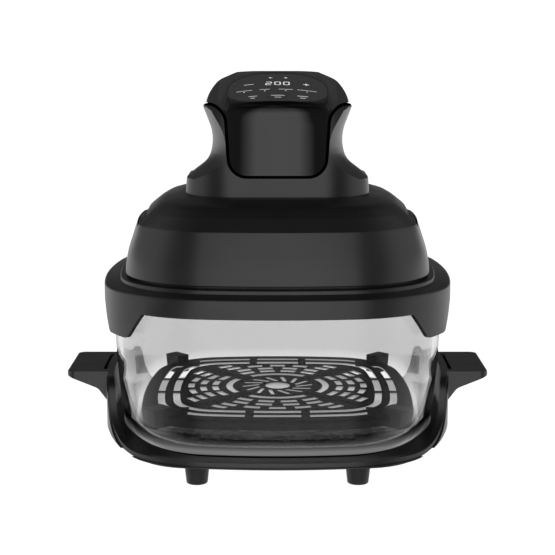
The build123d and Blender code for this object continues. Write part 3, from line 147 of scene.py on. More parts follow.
# Touch marks, in the plane of the window: heights of the rows over its centre, places and lengths along
# a row, and (length, width) of single bars
DIGIT_ROW = 8.9 * MM
SIGN_PLACE = 24.0 * MM
MINUS_BAR = (8.0 * MM, 0.9 * MM)
PLUS_BAR = (5.0 * MM, 1.1 * MM)
MODE_HEIGHT = -6.0 * MM
MODE_ROW = (
    (-27.6 * MM, 13.0 * MM), (-10.5 * MM, 8.5 * MM), (6.8 * MM, 11.5 * MM), (24.3 * MM, 16.0 * MM)
)
MODE_WIDTH = 0.7 * MM
MODE_DOT = (1.2 * MM, 1.2 * MM)
MODE_DOT_DROP = 3.5 * MM
KEY_HEIGHT = -21.3 * MM
KEY_ROW = ((-20.1 * MM, 7.0 * MM), (0.3 * MM, 11.0 * MM), (20.6 * MM, 9.0 * MM))
KEY_WIDTH = 0.9 * MM
KEY_DROP = 4.5 * MM
ICON_HEIGHT = 23.4 * MM
ICON_ROW = (-6.0 * MM, 7.0 * MM)
ICON_BAR = (3.2 * MM, 0.7 * MM)
ICON_POST = (2.6 * MM, 0.9 * MM)


def linear(code):
    """An sRGB hex colour as the linear values that a shader takes."""
    shares = [int(code[place : place + 2], 16) / 255 for place in (1, 3, 5)]
    return tuple(c / 12.92 if c <= 0.04045 else ((c + 0.055) / 1.055) ** 2.4 for c in shares)


def colour_property(name, description, code):
    """A colour that a user can change, given as an sRGB hex value."""
    return FloatVectorProperty(
        name=name, description=description, default=linear(code), subtype="COLOR", size=3, min=0, max=1
    )


class FryerFinish(bpy.types.PropertyGroup):
    """Colours and surface sizes of the air fryer's finishes."""

    plastic: colour_property("Satin plastic", "Colour of the moulded black housings", "#1b1b1c")
    plastic_roughness: FloatProperty(
        name="Satin roughness", description="Roughness of the textured mouldings", default=0.34, min=0, max=1
    )
    grain: FloatProperty(
        name="Grain", description="Size of the moulded grain", default=1.1 * MM, unit="LENGTH", precision=4
    )
    gloss: colour_property("Gloss plastic", "Colour of the polished handle cap", "#0c0c0d")
    glass: colour_property("Glass", "Tint of the pressed glass bowl", "#dcdcdc")
    # Strength of the painted glow on the bowl's base, an emission that stands in for light
    piped: FloatProperty(
        name="Painted base glow",
        description="Brightness of the light that leaves the bowl's base",
        default=0.27,
        min=0,
    )
    crown: FloatProperty(
        name="Crown",
        description="Radius to which the cap's faces are crowned",
        default=125 * MM,
        unit="LENGTH",
    )
    coating: colour_property("Non-stick coating", "Colour of the crisper plate", "#1f1f20")
    silicone: colour_property("Silicone", "Colour of the plate's corner bumpers", "#1c1c1c")
    rubber: colour_property("Rubber", "Colour of the feet and the cord gland", "#161616")


class FryerDisplay(bpy.types.PropertyGroup):
    """What the touch display shows."""

    reading: IntProperty(
        name="Reading", description="Number on the display, in degrees", default=200, min=0, max=999
    )
    mark: colour_property("Mark", "Colour of the lit marks", "#e9e9e9")
    window: colour_property("Window", "Colour of the smoked window", "#4c4c4d")
    digit_height: FloatProperty(
        name="Digit height", description="Height of a digit", default=7.2 * MM, unit="LENGTH", precision=4
    )
    stroke: FloatProperty(
        name="Stroke", description="Width of a digit's stroke", default=1.15 * MM, unit="LENGTH", precision=4
    )
    lift: FloatProperty(
        name="Mark thickness",
        description="How far a mark stands on the window",
        default=0.06 * MM,
        unit="LENGTH",
        precision=5,
    )


class FryerStage(bpy.types.PropertyGroup):
    """Floor, light and camera."""

    floor: colour_property("Floor", "Colour of the studio floor", "#ffffff")
    floor_size: FloatProperty(
        name="Floor size", description="Width of the square floor", default=30.0, unit="LENGTH"
    )
    background: FloatProperty(
        name="Background", description="Brightness of the white background", default=1.0, min=0
    )
    light: FloatProperty(name="Light", description="Brightness of the studio light", default=1.6, min=0)
    lens: FloatProperty(name="Lens", description="Focal length of the camera", default=92.43, unit="CAMERA")
    distance: FloatProperty(
        name="Distance",
        description="How far the camera stands in front of the part",
        default=1.205,
        unit="LENGTH",
    )
    height: FloatProperty(
        name="Height", description="Height of the camera over the floor", default=0.35264, unit="LENGTH"
    )
    tilt: FloatProperty(
        name="Tilt", description="How far the camera looks down", default=math.radians(9.521), subtype="ANGLE"
    )


def add(tree, kind, values=None, **settings):
    """Adds a node with its settings, and fills its inputs with plain values or with other nodes' outputs."""
    node = tree.nodes.new(kind)
    for name, value in settings.items():
        setattr(node, name, value)
    for name, value in (values or {}).items():
        if isinstance(value, bpy.types.NodeSocket):
            tree.links.new(value, node.inputs[name])
        else:
            node.inputs[name].default_value = value
    return node


def new_material(name, shader_values):
    """A material with one Principled shader, its object coordinates and its output."""
    made = bpy.data.materials.new(name)
    made.use_nodes = True
    tree = made.node_tree
    tree.nodes.clear()
    shader = add(tree, "ShaderNodeBsdfPrincipled", shader_values)
    output = add(tree, "ShaderNodeOutputMaterial")
    tree.links.new(shader.outputs[0], output.inputs["Surface"])
    place = add(tree, "ShaderNodeTexCoord").outputs["Object"]
    return made, tree, shader, place


def per(size):
    """The scale of a pattern whose features are this many metres wide."""
    return 1.0 / size


def features(size, detail=2.0, roughness=0.5):
    """The inputs of a noise with features of a real size, in metres."""
    return {"Scale": per(size), "Detail": detail, "Roughness": roughness}


def mottled(tree, shader, pattern, colour, spread):
    """Lets a pattern vary the base colour a little about its middle value."""
    dark = [share * (1 - spread) for share in colour] + [1.0]
    light = [min(1.0, share * (1 + spread)) for share in colour] + [1.0]
    mix = add(tree, "ShaderNodeMix", {0: pattern, 6: dark, 7: light}, data_type="RGBA")
    tree.links.new(mix.outputs[2], shader.inputs["Base Color"])


def roughened(tree, shader, pattern, low, high, low_at=0.3, high_at=0.7):
    """Lets a pattern vary the roughness between two values, reached at two places of the pattern."""
    spread = add(tree, "ShaderNodeMapRange", {0: pattern, 1: low_at, 2: high_at, 3: low, 4: high})
    tree.links.new(spread.outputs[0], shader.inputs["Roughness"])


def grained(tree, shader, height, depth, strength):
    """Joins a height pattern to the shader as a bump of a real depth, in metres."""
    bump = add(tree, "ShaderNodeBump", {"Height": height, "Distance": depth, "Strength": strength})
    tree.links.new(bump.outputs[0], shader.inputs["Normal"])


def satin_abs(name, colour, roughness, grain):
    """ABS moulded in a spark-eroded tool: a fine even grain that spreads reflections into a soft sheen."""
    made, tree, shader, place = new_material(name, {"IOR": 1.5})
    # The real grain is about 0.1 mm; it is drawn coarser so that it shows
    fine = add(tree, "ShaderNodeTexNoise", {"Vector": place, **features(grain, 3.0)}).outputs[0]
    broad = add(tree, "ShaderNodeTexNoise", {"Vector": place, **features(40 * MM)}).outputs[0]
    mottled(tree, shader, broad, colour, 0.10)
    roughened(tree, shader, broad, roughness - 0.03, roughness + 0.03)
    grained(tree, shader, fine, 0.03 * MM, 0.25)
    return made


def dull_abs(name, colour):
    """Painted shade: a dark, rough ABS without sheen, put where a groove or the floor under the glass should
    stay dark.
    """
    made, tree, shader, place = new_material(name, {"Roughness": 0.9, "Specular IOR Level": 0.0})
    clouds = add(tree, "ShaderNodeTexNoise", {"Vector": place, **features(5 * MM)}).outputs[0]
    mottled(tree, shader, clouds, colour, 0.2)
    return made


def gloss_abs(name, colour, crown):
    """ABS moulded in a polished tool: mirror clear, its faces crowned a little so reflections taper."""
    made, tree, shader, place = new_material(name, {"IOR": 1.5, "Base Color": (*colour, 1.0)})
    haze = add(tree, "ShaderNodeTexNoise", {"Vector": place, **features(9 * MM, 4.0, 0.7)}).outputs[0]
    roughened(tree, shader, haze, 0.04, 0.10, 0.35, 0.75)
    # A crowned face falls by its distance from the middle squared over twice its radius. The bump takes
    # that fall as it is, in metres
    across = add(tree, "ShaderNodeSeparateXYZ", {0: place}).outputs["X"]
    square = add(tree, "ShaderNodeMath", {0: across, 1: across}, operation="MULTIPLY").outputs[0]
    fall = add(tree, "ShaderNodeMath", {0: square, 1: -0.5 / crown}, operation="MULTIPLY").outputs[0]
    grained(tree, shader, fall, 1.0, 1.0)
    return made


def base_glow(tree, place, piped):
    """Painted glow: emission on the bowl's base, soft and strongest at the rear, that stands in for light
    seen through the glass.
    """
    split = add(tree, "ShaderNodeSeparateXYZ", {0: place})
    # Each value changes from the bowl's front to its rear; the painted glow is strongest at the rear, where
    # the backdrop is near and bright
    along = {0: split.outputs["Y"], 1: GLOW_PLACES[0], 2: GLOW_PLACES[1]}
    shares = [part * piped for part in GLOW_SHARES]
    start, full, fade, end, share = [
        add(tree, "ShaderNodeMapRange", {**along, 3: front, 4: rear}).outputs[0]
        for front, rear in (GLOW_START, GLOW_FULL, GLOW_FADE, GLOW_END, shares)
    ]
    # Distance from the axis, measured along squares with soft corners as the bowl's own plan
    fourths = [
        add(tree, "ShaderNodeMath", {0: split.outputs[axis], 1: 4.0}, operation="POWER").outputs[0]
        for axis in "XY"
    ]
    total = add(tree, "ShaderNodeMath", {0: fourths[0], 1: fourths[1]}, operation="ADD").outputs[0]
    out = add(tree, "ShaderNodeMath", {0: total, 1: 0.25}, operation="POWER").outputs[0]
    bend = add(tree, "ShaderNodeMapRange", {0: out, 1: start, 2: full, 3: 0.0, 4: 1.0}).outputs[0]
    height = split.outputs["Z"]
    low = add(tree, "ShaderNodeMapRange", {0: height, 1: fade, 2: end, 3: 1.0, 4: 0.0}).outputs[0]
    glow = add(tree, "ShaderNodeMath", {0: bend, 1: low}, operation="MULTIPLY").outputs[0]
    return add(tree, "ShaderNodeMath", {0: glow, 1: share}, operation="MULTIPLY").outputs[0]


def pressed_glass(name, colour, piped):
    """Soda-lime glass pressed in a mould: clear and smooth, with a faint waviness from the mould, and a
    painted glow on its base.
    """
    # The tint keeps reflections weak, as on glass that is shot with the lamps screened from it
    made, tree, shader, place = new_material(
        name,
        {
            "IOR": 1.5,
            "Base Color": (*colour, 1.0),
            "Transmission Weight": 1.0,
            "Roughness": 0.0,
            "Specular IOR Level": 0.07,
            "Specular Tint": (0.3, 0.3, 0.3, 1.0),
        },
    )
    waves = add(tree, "ShaderNodeTexNoise", {"Vector": place, **features(25 * MM, 1.0)}).outputs[0]
    grained(tree, shader, waves, 0.02 * MM, 0.15)
    # Painted glow: emission on the base that stands in for light seen through the glass
    tree.links.new(base_glow(tree, place, piped), shader.inputs["Emission Strength"])
    return made


def non_stick(name, colour):
    """PTFE enamel sprayed on pressed steel: dark, satin, with fine orange peel and tiny flecks."""
    made, tree, shader, place = new_material(name, {"IOR": 1.42, "Specular IOR Level": 0.12})
    # Flecks are about 0.3 mm in the real coating, and drawn at 0.9 mm so that they show
    cells = add(tree, "ShaderNodeTexVoronoi", {"Vector": place, "Scale": per(0.9 * MM)}).outputs["Distance"]
    flecks = add(tree, "ShaderNodeMapRange", {0: cells, 1: 0.05, 2: 0.3, 3: 1.0, 4: 0.4}).outputs[0]
    mottled(tree, shader, flecks, colour, 0.18)
    peel = add(tree, "ShaderNodeTexNoise", {"Vector": place, **features(1.6 * MM)}).outputs[0]
    roughened(tree, shader, peel, 0.3, 0.42)
    grained(tree, shader, peel, 0.03 * MM, 0.3)
    return made


def cured_silicone(name, colour):
    """Silicone or other rubber, moulded: dull, with a soft sheen, dusty to the eye."""
    made, tree, shader, place = new_material(
        name, {"IOR": 1.41, "Sheen Weight": 0.25, "Sheen Roughness": 0.5}
    )
    dust = add(tree, "ShaderNodeTexNoise", {"Vector": place, **features(3 * MM, 4.0, 0.65)}).outputs[0]
    mottled(tree, shader, dust, colour, 0.2)
    roughened(tree, shader, dust, 0.55, 0.7)
    grained(tree, shader, dust, 0.03 * MM, 0.25)
    return made


def smoked_window(name, colour):
    """Smoked acrylic over the display: a hard coated, faintly satin face with an even grey body."""
    made, tree, shader, place = new_material(name, {"IOR": 1.49, "Specular IOR Level": 0.3})
    haze = add(tree, "ShaderNodeTexNoise", {"Vector": place, **features(6 * MM, 3.0)}).outputs[0]
    mottled(tree, shader, haze, colour, 0.06)
    roughened(tree, shader, haze, 0.2, 0.28)
    return made


def lit_edge(name, colour, glow):
    """Edge of punched steel sheet with a painted glow: an emission that stands in for the light seen through
    the slots from under the plate.
    """
    made, tree, shader, place = new_material(
        name, {"Emission Color": (*glow, 1.0), "Emission Strength": 0.6, "Roughness": 0.5}
    )
    marks = add(tree, "ShaderNodeTexNoise", {"Vector": place, **features(1 * MM)}).outputs[0]
    mottled(tree, shader, marks, colour, 0.08)
    return made


def lit_ink(name, colour):
    """Translucent ink lit from behind: an even white glow."""
    made, tree, shader, place = new_material(
        name, {"Emission Color": (*colour, 1.0), "Emission Strength": 0.55, "Roughness": 0.5}
    )
    grain = add(tree, "ShaderNodeTexNoise", {"Vector": place, **features(1.5 * MM)}).outputs[0]
    mottled(tree, shader, grain, colour, 0.08)
    return made


def plain_metal(name, colour, roughness, grain, stretch=(1.0, 1.0, 1.0), metallic=1.0):
    """Metal sheet or bar whose brushing, rolling or casting shows as grain of a real size."""
    made, tree, shader, place = new_material(name, {"Metallic": metallic})
    turned = add(tree, "ShaderNodeMapping", {"Vector": place, "Scale": stretch}).outputs[0]
    streaks = add(tree, "ShaderNodeTexNoise", {"Vector": turned, **features(grain, 4.0, 0.6)}).outputs[0]
    mottled(tree, shader, streaks, colour, 0.15)
    roughened(tree, shader, streaks, roughness - 0.06, roughness + 0.06)
    grained(tree, shader, streaks, 0.02 * MM, 0.3)
    return made


def woven_sleeve(name, colour):
    """Woven glass fibre sleeve: off-white threads crossing at a slant."""
    made, tree, shader, place = new_material(name, {"Roughness": 0.8})
    threads = add(
        tree, "ShaderNodeTexWave", {"Vector": place, "Scale": per(4 * MM), "Distortion": 2.0},
        bands_direction="DIAGONAL",
    ).outputs["Fac"]
    mottled(tree, shader, threads, colour, 0.15)
    grained(tree, shader, threads, 0.1 * MM, 0.5)
    return made


def solder_resist(name, colour):
    """Circuit board: green lacquer over copper tracks that show as paler lines."""
    made, tree, shader, place = new_material(name, {"Roughness": 0.3})
    black, white = (0, 0, 0, 1), (1, 1, 1, 1)
    tracks = add(
        tree, "ShaderNodeTexBrick",
        {
            "Vector": place,
            "Scale": per(10 * MM),
            "Mortar Size": 0.05,
            "Color1": black,
            "Color2": black,
            "Mortar": white,
        },
    ).outputs["Fac"]
    mottled(tree, shader, tracks, colour, 0.45)
    grained(tree, shader, tracks, 0.05 * MM, 0.5)
    return made


def dull_nylon(name, colour):
    """Natural nylon, milky polycarbonate or epoxy, moulded plain: cloudy, with a weak sheen."""
    made, tree, shader, place = new_material(name, {"IOR": 1.53})
    clouds = add(tree, "ShaderNodeTexNoise", {"Vector": place, **features(8 * MM, 3.0)}).outputs[0]
    mottled(tree, shader, clouds, colour, 0.06)
    roughened(tree, shader, clouds, 0.42, 0.52)
    return made


def finish_node(name, material):
    """Gives a CAD node its finish."""
    slots = NODES[name].data.materials
    if not slots:
        slots.append(material)
    for index in range(len(slots)):
        slots[index] = material


def finish_nodes(names, material):
    """Gives several CAD nodes one finish."""
    for name in names:
        finish_node(name, material)


def body_of(name):
    """The body that a CAD node belongs to."""
    for body, members in frame["record"]["behaviour"]["bodies"].items():
        if name in members:
            return body
    raise RuntimeError("no body holds " + name)


def smooth_copy(name, material, angle=SOFT_EDGE):
    """A joined copy of a CAD node with rounded shading across its soft edges; it stands for the node."""
    mesh = NODES[name].data.copy()
    # The stored corner normals belong to the loose triangles, and the merged copy makes its own
    mesh.attributes.remove(mesh.attributes["custom_normal"])
    form = bmesh.new()
    form.from_mesh(mesh)
    bmesh.ops.remove_doubles(form, verts=form.verts, dist=MERGE_DISTANCE)
    for face in form.faces:
        face.smooth = True
    limit = math.radians(angle)
    for edge in form.edges:
        edge.smooth = len(edge.link_faces) == 2 and edge.calc_face_angle(math.pi) < limit
    form.to_mesh(mesh)
    form.free()
    piece = bpy.data.objects.new(name + "_skin", mesh)
    bpy.context.scene.collection.objects.link(piece)
    piece.data.materials.clear()
    piece.data.materials.append(material)
    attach(piece, body_of(name))
    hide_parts(name)
    return piece


def link(name, mesh, material, body):
    """Puts a finished mesh into the scene on its body."""
    piece = bpy.data.objects.new(name, mesh)
    bpy.context.scene.collection.objects.link(piece)
    piece.data.materials.clear()
    piece.data.materials.append(material)
    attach(piece, body)
    return piece


def bar_strokes(settings):
    """Every mark of the display as (x, y, angle, length, width) in the plane of the window, in metres."""
    height = settings.digit_height
    stroke = settings.stroke
    width = DIGIT_ASPECT * height
    strokes = []
    places = {
        "top": (0, height / 2, 0, width),
        "middle": (0, 0, 0, width),
        "bottom": (0, -height / 2, 0, width),
        "upper_left": (-width / 2, height / 4, 90, height / 2),
        "upper_right": (width / 2, height / 4, 90, height / 2),
        "lower_left": (-width / 2, -height / 4, 90, height / 2),
        "lower_right": (width / 2, -height / 4, 90, height / 2),
    }
    pitch = width + DIGIT_STEP * stroke
    digits = [int(letter) for letter in str(settings.reading)]
    for index, digit in enumerate(digits):
        centre = (index - (len(digits) - 1) / 2) * pitch
        for segment in SEGMENTS[digit].split():
            x, y, angle, length = places[segment]
            strokes.append((centre + x, DIGIT_ROW + y, angle, length - SEGMENT_GAP * stroke, stroke))
    strokes.append((-SIGN_PLACE, DIGIT_ROW, 0, *MINUS_BAR))
    strokes.append((SIGN_PLACE, DIGIT_ROW, 0, *PLUS_BAR))
    strokes.append((SIGN_PLACE, DIGIT_ROW, 90, *PLUS_BAR))
    for x, length in MODE_ROW:
        strokes.append((x, MODE_HEIGHT, 0, length, MODE_WIDTH))
        strokes.append((x, MODE_HEIGHT - MODE_DOT_DROP, 0, *MODE_DOT))
    for x, length in KEY_ROW:
        strokes.append((x, KEY_HEIGHT, 0, length, KEY_WIDTH))
        strokes.append((x, KEY_HEIGHT - KEY_DROP, 0, length / 2, KEY_WIDTH))
    for x in ICON_ROW:
        strokes.append((x, ICON_HEIGHT, 0, *ICON_BAR))
        strokes.append((x, ICON_HEIGHT, 90, *ICON_POST))
    return strokes


def marks_tree():
    """Geometry nodes: a bar on every point, laid on the crowned window and given its ink."""
    tree = bpy.data.node_groups.new("display_marks", "GeometryNodeTree")
    face = tree.interface
    face.new_socket("Geometry", in_out="INPUT", socket_type="NodeSocketGeometry")
    face.new_socket("Geometry", in_out="OUTPUT", socket_type="NodeSocketGeometry")
    for name, kind in (("Crown radius", "Float"), ("Lift", "Float"), ("Ink", "Material")):
        face.new_socket(name, in_out="INPUT", socket_type="NodeSocket" + kind)
    given = add(tree, "NodeGroupInput")
    bar = add(
        tree, "GeometryNodeMeshGrid", {"Size X": 1.0, "Size Y": 1.0, "Vertices X": 7, "Vertices Y": 2}
    )
    size = add(tree, "GeometryNodeInputNamedAttribute", {"Name": "bar_size"}, data_type="FLOAT_VECTOR")
    turn = add(tree, "GeometryNodeInputNamedAttribute", {"Name": "bar_turn"}, data_type="FLOAT_VECTOR")
    placed = add(
        tree, "GeometryNodeInstanceOnPoints",
        {
            "Points": given.outputs["Geometry"],
            "Instance": bar.outputs["Mesh"],
            "Rotation": turn.outputs["Attribute"],
            "Scale": size.outputs["Attribute"],
        },
    )
    real = add(tree, "GeometryNodeRealizeInstances", {"Geometry": placed.outputs["Instances"]})
    # The window's crown is part of a cylinder, and a mark lies on it as far below the top as the arc falls
    position = add(tree, "GeometryNodeInputPosition").outputs[0]
    where = add(tree, "ShaderNodeSeparateXYZ", {"Vector": position})
    radius = given.outputs["Crown radius"]
    aside = where.outputs["X"]
    across = add(tree, "ShaderNodeMath", {0: aside, 1: aside}, operation="MULTIPLY")
    square = add(tree, "ShaderNodeMath", {0: radius, 1: radius}, operation="MULTIPLY")
    left = add(tree, "ShaderNodeMath", {0: square.outputs[0], 1: across.outputs[0]}, operation="SUBTRACT")
    reach = add(tree, "ShaderNodeMath", {0: left.outputs[0]}, operation="SQRT")
    drop = add(tree, "ShaderNodeMath", {0: reach.outputs[0], 1: radius}, operation="SUBTRACT")
    rise = add(tree, "ShaderNodeMath", {0: drop.outputs[0], 1: given.outputs["Lift"]}, operation="ADD")
    offset = add(tree, "ShaderNodeCombineXYZ", {"Z": rise.outputs[0]})
    laid = add(tree, "GeometryNodeSetPosition", {"Geometry": real.outputs[0], "Offset": offset.outputs[0]})
    ink = given.outputs["Ink"]
    inked = add(tree, "GeometryNodeSetMaterial", {"Geometry": laid.outputs[0], "Material": ink})
    output = add(tree, "NodeGroupOutput")
    tree.links.new(inked.outputs[0], output.inputs["Geometry"])
    return tree


def grown(name, points, attributes, tree, values):
    """Runs a geometry node tree over a cloud of points and returns its result as a plain mesh."""
    mesh = bpy.data.meshes.new(name)
    mesh.from_pydata(points, [], [])
    for label, rows in attributes.items():
        store = mesh.attributes.new(label, "FLOAT_VECTOR", "POINT")
        store.data.foreach_set("vector", [value for row in rows for value in row])
    carrier = bpy.data.objects.new(name, mesh)
    bpy.context.scene.collection.objects.link(carrier)
    modifier = carrier.modifiers.new("grow", "NODES")
    modifier.node_group = tree
    for item in tree.interface.items_tree:
        if item.in_out == "INPUT" and item.name in values:
            modifier[item.identifier] = values[item.name]
    depsgraph = bpy.context.evaluated_depsgraph_get()
    result = bpy.data.meshes.new_from_object(carrier.evaluated_get(depsgraph))
    bpy.data.objects.remove(carrier)
    return result


def top_matrix():
    """From the plane of the display window to the part's frame."""
    return Matrix.Translation(TOP_CENTRE) @ Matrix.Rotation(TOP_TILT, 4, "X")


def neck_front(x, z):
    """How far in front of the axis the neck's skin stands at a place across and up, in metres."""
    climb = (z - NECK_LOW) / (NECK_HIGH - NECK_LOW)
    half_x, half_y, corner = [low + climb * (high - low) for low, high in zip(NECK_FOOT, NECK_HEAD)]
    past = min(corner, max(0.0, abs(x) - (half_x - corner)))
    return half_y - (corner - math.sqrt(corner**2 - past**2))


def shade_groove(piece, dark):
    """Paints shade with a near-black finish on the faces at the bottom of the groove round the handle cap,
    and on the head's faces above its side seams.
    """
    piece.data.materials.append(dark)
    for face in piece.data.polygons:
        x, y, z = face.center
        depth = neck_front(x, z) + y if NECK_LOW < z < NECK_HIGH else 0.0
        reach = APRON_REACH + APRON_FLARE * (z - APRON_LOW)
        in_groove = GROOVE_SKIN < depth < GROOVE_REACH
        behind_apron = abs(x) < reach and APRON_LOW < z < SEAM_LOW and in_groove
        if behind_apron or z > SEAM_LOW:
            face.material_index = 1


def light_edges(piece, bright):
    """Gives the cut edges of the plate's slots a painted glow that stands in for the light seen through them
    from below.
    """
    piece.data.materials.append(bright)
    corners = piece.data.vertices
    for face in piece.data.polygons:
        heights = [corners[index].co.z for index in face.vertices]
        inside = max(abs(face.center.x), abs(face.center.y)) < PLATE_REACH
        if inside and PLATE_LOWEST < min(heights) < PLATE_UNDER and max(heights) > PLATE_TOP:
            face.material_index = 1


def dull_floor(piece, dull):
    """Paints shade on the tray's floor, which the bowl covers, with a dark, rough finish without sheen."""
    piece.data.materials.append(dull)
    for face in piece.data.polygons:
        x, y, z = face.center
        if max(abs(x), abs(y)) < TRAY_REACH and z < TRAY_FLOOR and face.normal.z > LEVEL:
            face.material_index = 1


class FRYER_OT_tray(bpy.types.Operator):
    """Finishes the carrier tray, its feet, screws and rest pads."""

    bl_idname = "fryer.tray"
    bl_label = "Carrier tray"

    def execute(self, context):
        finish = context.scene.fryer_finish
        satin = satin_abs(
            "satin_moulded_abs_tray", finish.plastic, finish.plastic_roughness, finish.grain
        )
        tray = smooth_copy("carrier_base", satin)
        # Painted shade on the tray's floor under the bowl
        dull_floor(tray, dull_abs("tray_floor_painted_shade", linear("#19191a")))
        rubber = cured_silicone("moulded_rubber", finish.rubber)
        for corner in CORNERS:
            smooth_copy("foot_" + corner, rubber)
        finish_node("rest_pads", cured_silicone("grey_silicone_pads", linear("#6a6a6b")))
        zinc = plain_metal("zinc_plated_steel", linear("#a9a9ac"), 0.35, 2 * MM)
        finish_node("foot_screws", zinc)
        return {"FINISHED"}


class FRYER_OT_bowl(bpy.types.Operator):
    """Finishes the pressed glass bowl."""

    bl_idname = "fryer.bowl"
    bl_label = "Glass bowl"

    def execute(self, context):
        finish = context.scene.fryer_finish
        glass = pressed_glass("pressed_soda_lime_glass", finish.glass, finish.piped)
        smooth_copy("glass_bowl", glass)
        return {"FINISHED"}


class FRYER_OT_plate(bpy.types.Operator):
    """Finishes the crisper plate and its four corner bumpers."""

    bl_idname = "fryer.plate"
    bl_label = "Crisper plate"

    def execute(self, context):
        finish = context.scene.fryer_finish
        plate = smooth_copy("crisper_plate", non_stick("non_stick_enamel", finish.coating))
        # Painted glow on the cut edges of the slots
        light_edges(plate, lit_edge("slot_edge_painted_glow", linear("#3a3a3b"), linear("#c8c8c8")))
        silicone = cured_silicone("moulded_silicone", finish.silicone)
        for corner in CORNERS:
            smooth_copy("bumper_" + corner, silicone)
        return {"FINISHED"}


class FRYER_OT_housing(bpy.types.Operator):
    """Finishes the skirt, the dome with its neck, the grilles, the seal and the cord gland."""

    bl_idname = "fryer.housing"
    bl_label = "Housing"

    def execute(self, context):
        finish = context.scene.fryer_finish
        satin = satin_abs("satin_moulded_abs", finish.plastic, finish.plastic_roughness, finish.grain)
        smooth_copy("lower_housing", satin)
        head = smooth_copy("head_housing", satin)
        # Painted shade: a near-black finish in the cap's groove
        shade_groove(head, dull_abs("groove_painted_shade", linear("#060606")))
        dark = satin_abs("dark_moulded_abs", linear("#0b0b0b"), 0.5, finish.grain)
        finish_nodes(("vent_grille_left", "vent_grille_right"), dark)
        finish_node("bowl_gasket", cured_silicone("grey_silicone_seal", linear("#6a6a6b")))
        smooth_copy("cord_gland", cured_silicone("moulded_rubber_gland", finish.rubber))
        oxide = plain_metal("black_oxide_steel", linear("#4a4a4c"), 0.4, 2 * MM)
        finish_node("housing_screws", oxide)
        return {"FINISHED"}


class FRYER_OT_handle(bpy.types.Operator):
    """Finishes the gloss handle cap and the display window."""

    bl_idname = "fryer.handle"
    bl_label = "Handle cap"

    def execute(self, context):
        finish = context.scene.fryer_finish
        polished = gloss_abs("polished_abs", finish.gloss, finish.crown)
        smooth_copy("handle_cap", polished, CAP_SMOOTH)
        window = smoked_window("smoked_acrylic", context.scene.fryer_display.window)
        smooth_copy("display_lens", window)
        return {"FINISHED"}


class FRYER_OT_marks(bpy.types.Operator):
    """Lays the digits and plain touch marks on the display window."""

    bl_idname = "fryer.marks"
    bl_label = "Display marks"

    def execute(self, context):
        display = context.scene.fryer_display
        strokes = bar_strokes(display)
        ink = lit_ink("backlit_ink", display.mark)
        mesh = grown(
            "display_marks",
            [(x, y, 0) for x, y, *_ in strokes],
            {
                "bar_size": [(length, width, 1) for _, _, _, length, width in strokes],
                "bar_turn": [(0, 0, math.radians(angle)) for _, _, angle, *_ in strokes],
            },
            marks_tree(),
            {"Crown radius": CROWN_RADIUS, "Lift": display.lift, "Ink": ink},
        )
        mesh.transform(top_matrix())
        link("display_marks", mesh, ink, "head")
        return {"FINISHED"}


class FRYER_OT_heating(bpy.types.Operator):
    """Finishes the heating chamber, the fans and the motor."""

    bl_idname = "fryer.heating"
    bl_label = "Heating and air"

    def execute(self, context):
        coated = plain_metal("heat_proof_coated_steel", linear("#7b7b7d"), 0.45, 3 * MM, metallic=0.6)
        finish_nodes(("fan_guard", "convection_fan", "motor_bracket", "heater_clips"), coated)
        # Rolling draws the grain out along the axis, turning closes it up, and stacked sheets show as layers
        rolled = plain_metal("aluminised_sheet", linear("#cfcfd2"), 0.28, 4 * MM, (1, 1, 0.1))
        finish_node("reflector_pan", rolled)
        drawn = plain_metal("drawn_aluminium", linear("#c4c4c6"), 0.35, 2 * MM)
        finish_node("thermal_cutoff", drawn)
        tube = plain_metal("heat_tinted_steel_tube", linear("#8b8078"), 0.4, 5 * MM)
        finish_nodes(("heater_coil", "temperature_sensor"), tube)
        finish_node("heater_leads", woven_sleeve("woven_glass_sleeve", linear("#ddd9cc")))
        finish_node("cooling_fan", dull_nylon("grey_glass_filled_nylon", linear("#454545")))
        turned = plain_metal("turned_steel", linear("#c0c0c3"), 0.25, 1.5 * MM, (1, 1, 8))
        finish_nodes(("motor_shaft", "motor_housing", "fan_nut"), turned)
        iron = plain_metal(
            "varnished_iron_laminations", linear("#5f5a57"), 0.5, 0.5 * MM, (0.05, 0.05, 1), 0.5
        )
        finish_nodes(("motor_stator", "motor_rotor"), iron)
        bronze = plain_metal("sintered_bronze", linear("#c9a86a"), 0.4, 1 * MM)
        finish_nodes(("bearing_lower", "bearing_upper"), bronze)
        stainless = plain_metal("stainless_steel", linear("#b9b9bb"), 0.3, 2 * MM)
        finish_nodes(("guard_screws", "bracket_screws"), stainless)
        return {"FINISHED"}


class FRYER_OT_electronics(bpy.types.Operator):
    """Finishes the boards, the light guide, the interlock and their screws."""

    bl_idname = "fryer.electronics"
    bl_label = "Electronics"

    def execute(self, context):
        lacquer = solder_resist("solder_resist", linear("#1f6b3a"))
        finish_nodes(("display_board", "power_board"), lacquer)
        finish_node("board_components", dull_nylon("dark_epoxy", linear("#333338")))
        white = dull_nylon("natural_nylon", linear("#dcdcd6"))
        finish_nodes(("board_standoffs", "interlock_switch", "interlock_plunger", "light_guide"), white)
        plated = plain_metal("plated_steel_screws", linear("#a9a9ac"), 0.35, 2 * MM)
        finish_node("display_screws", plated)
        return {"FINISHED"}


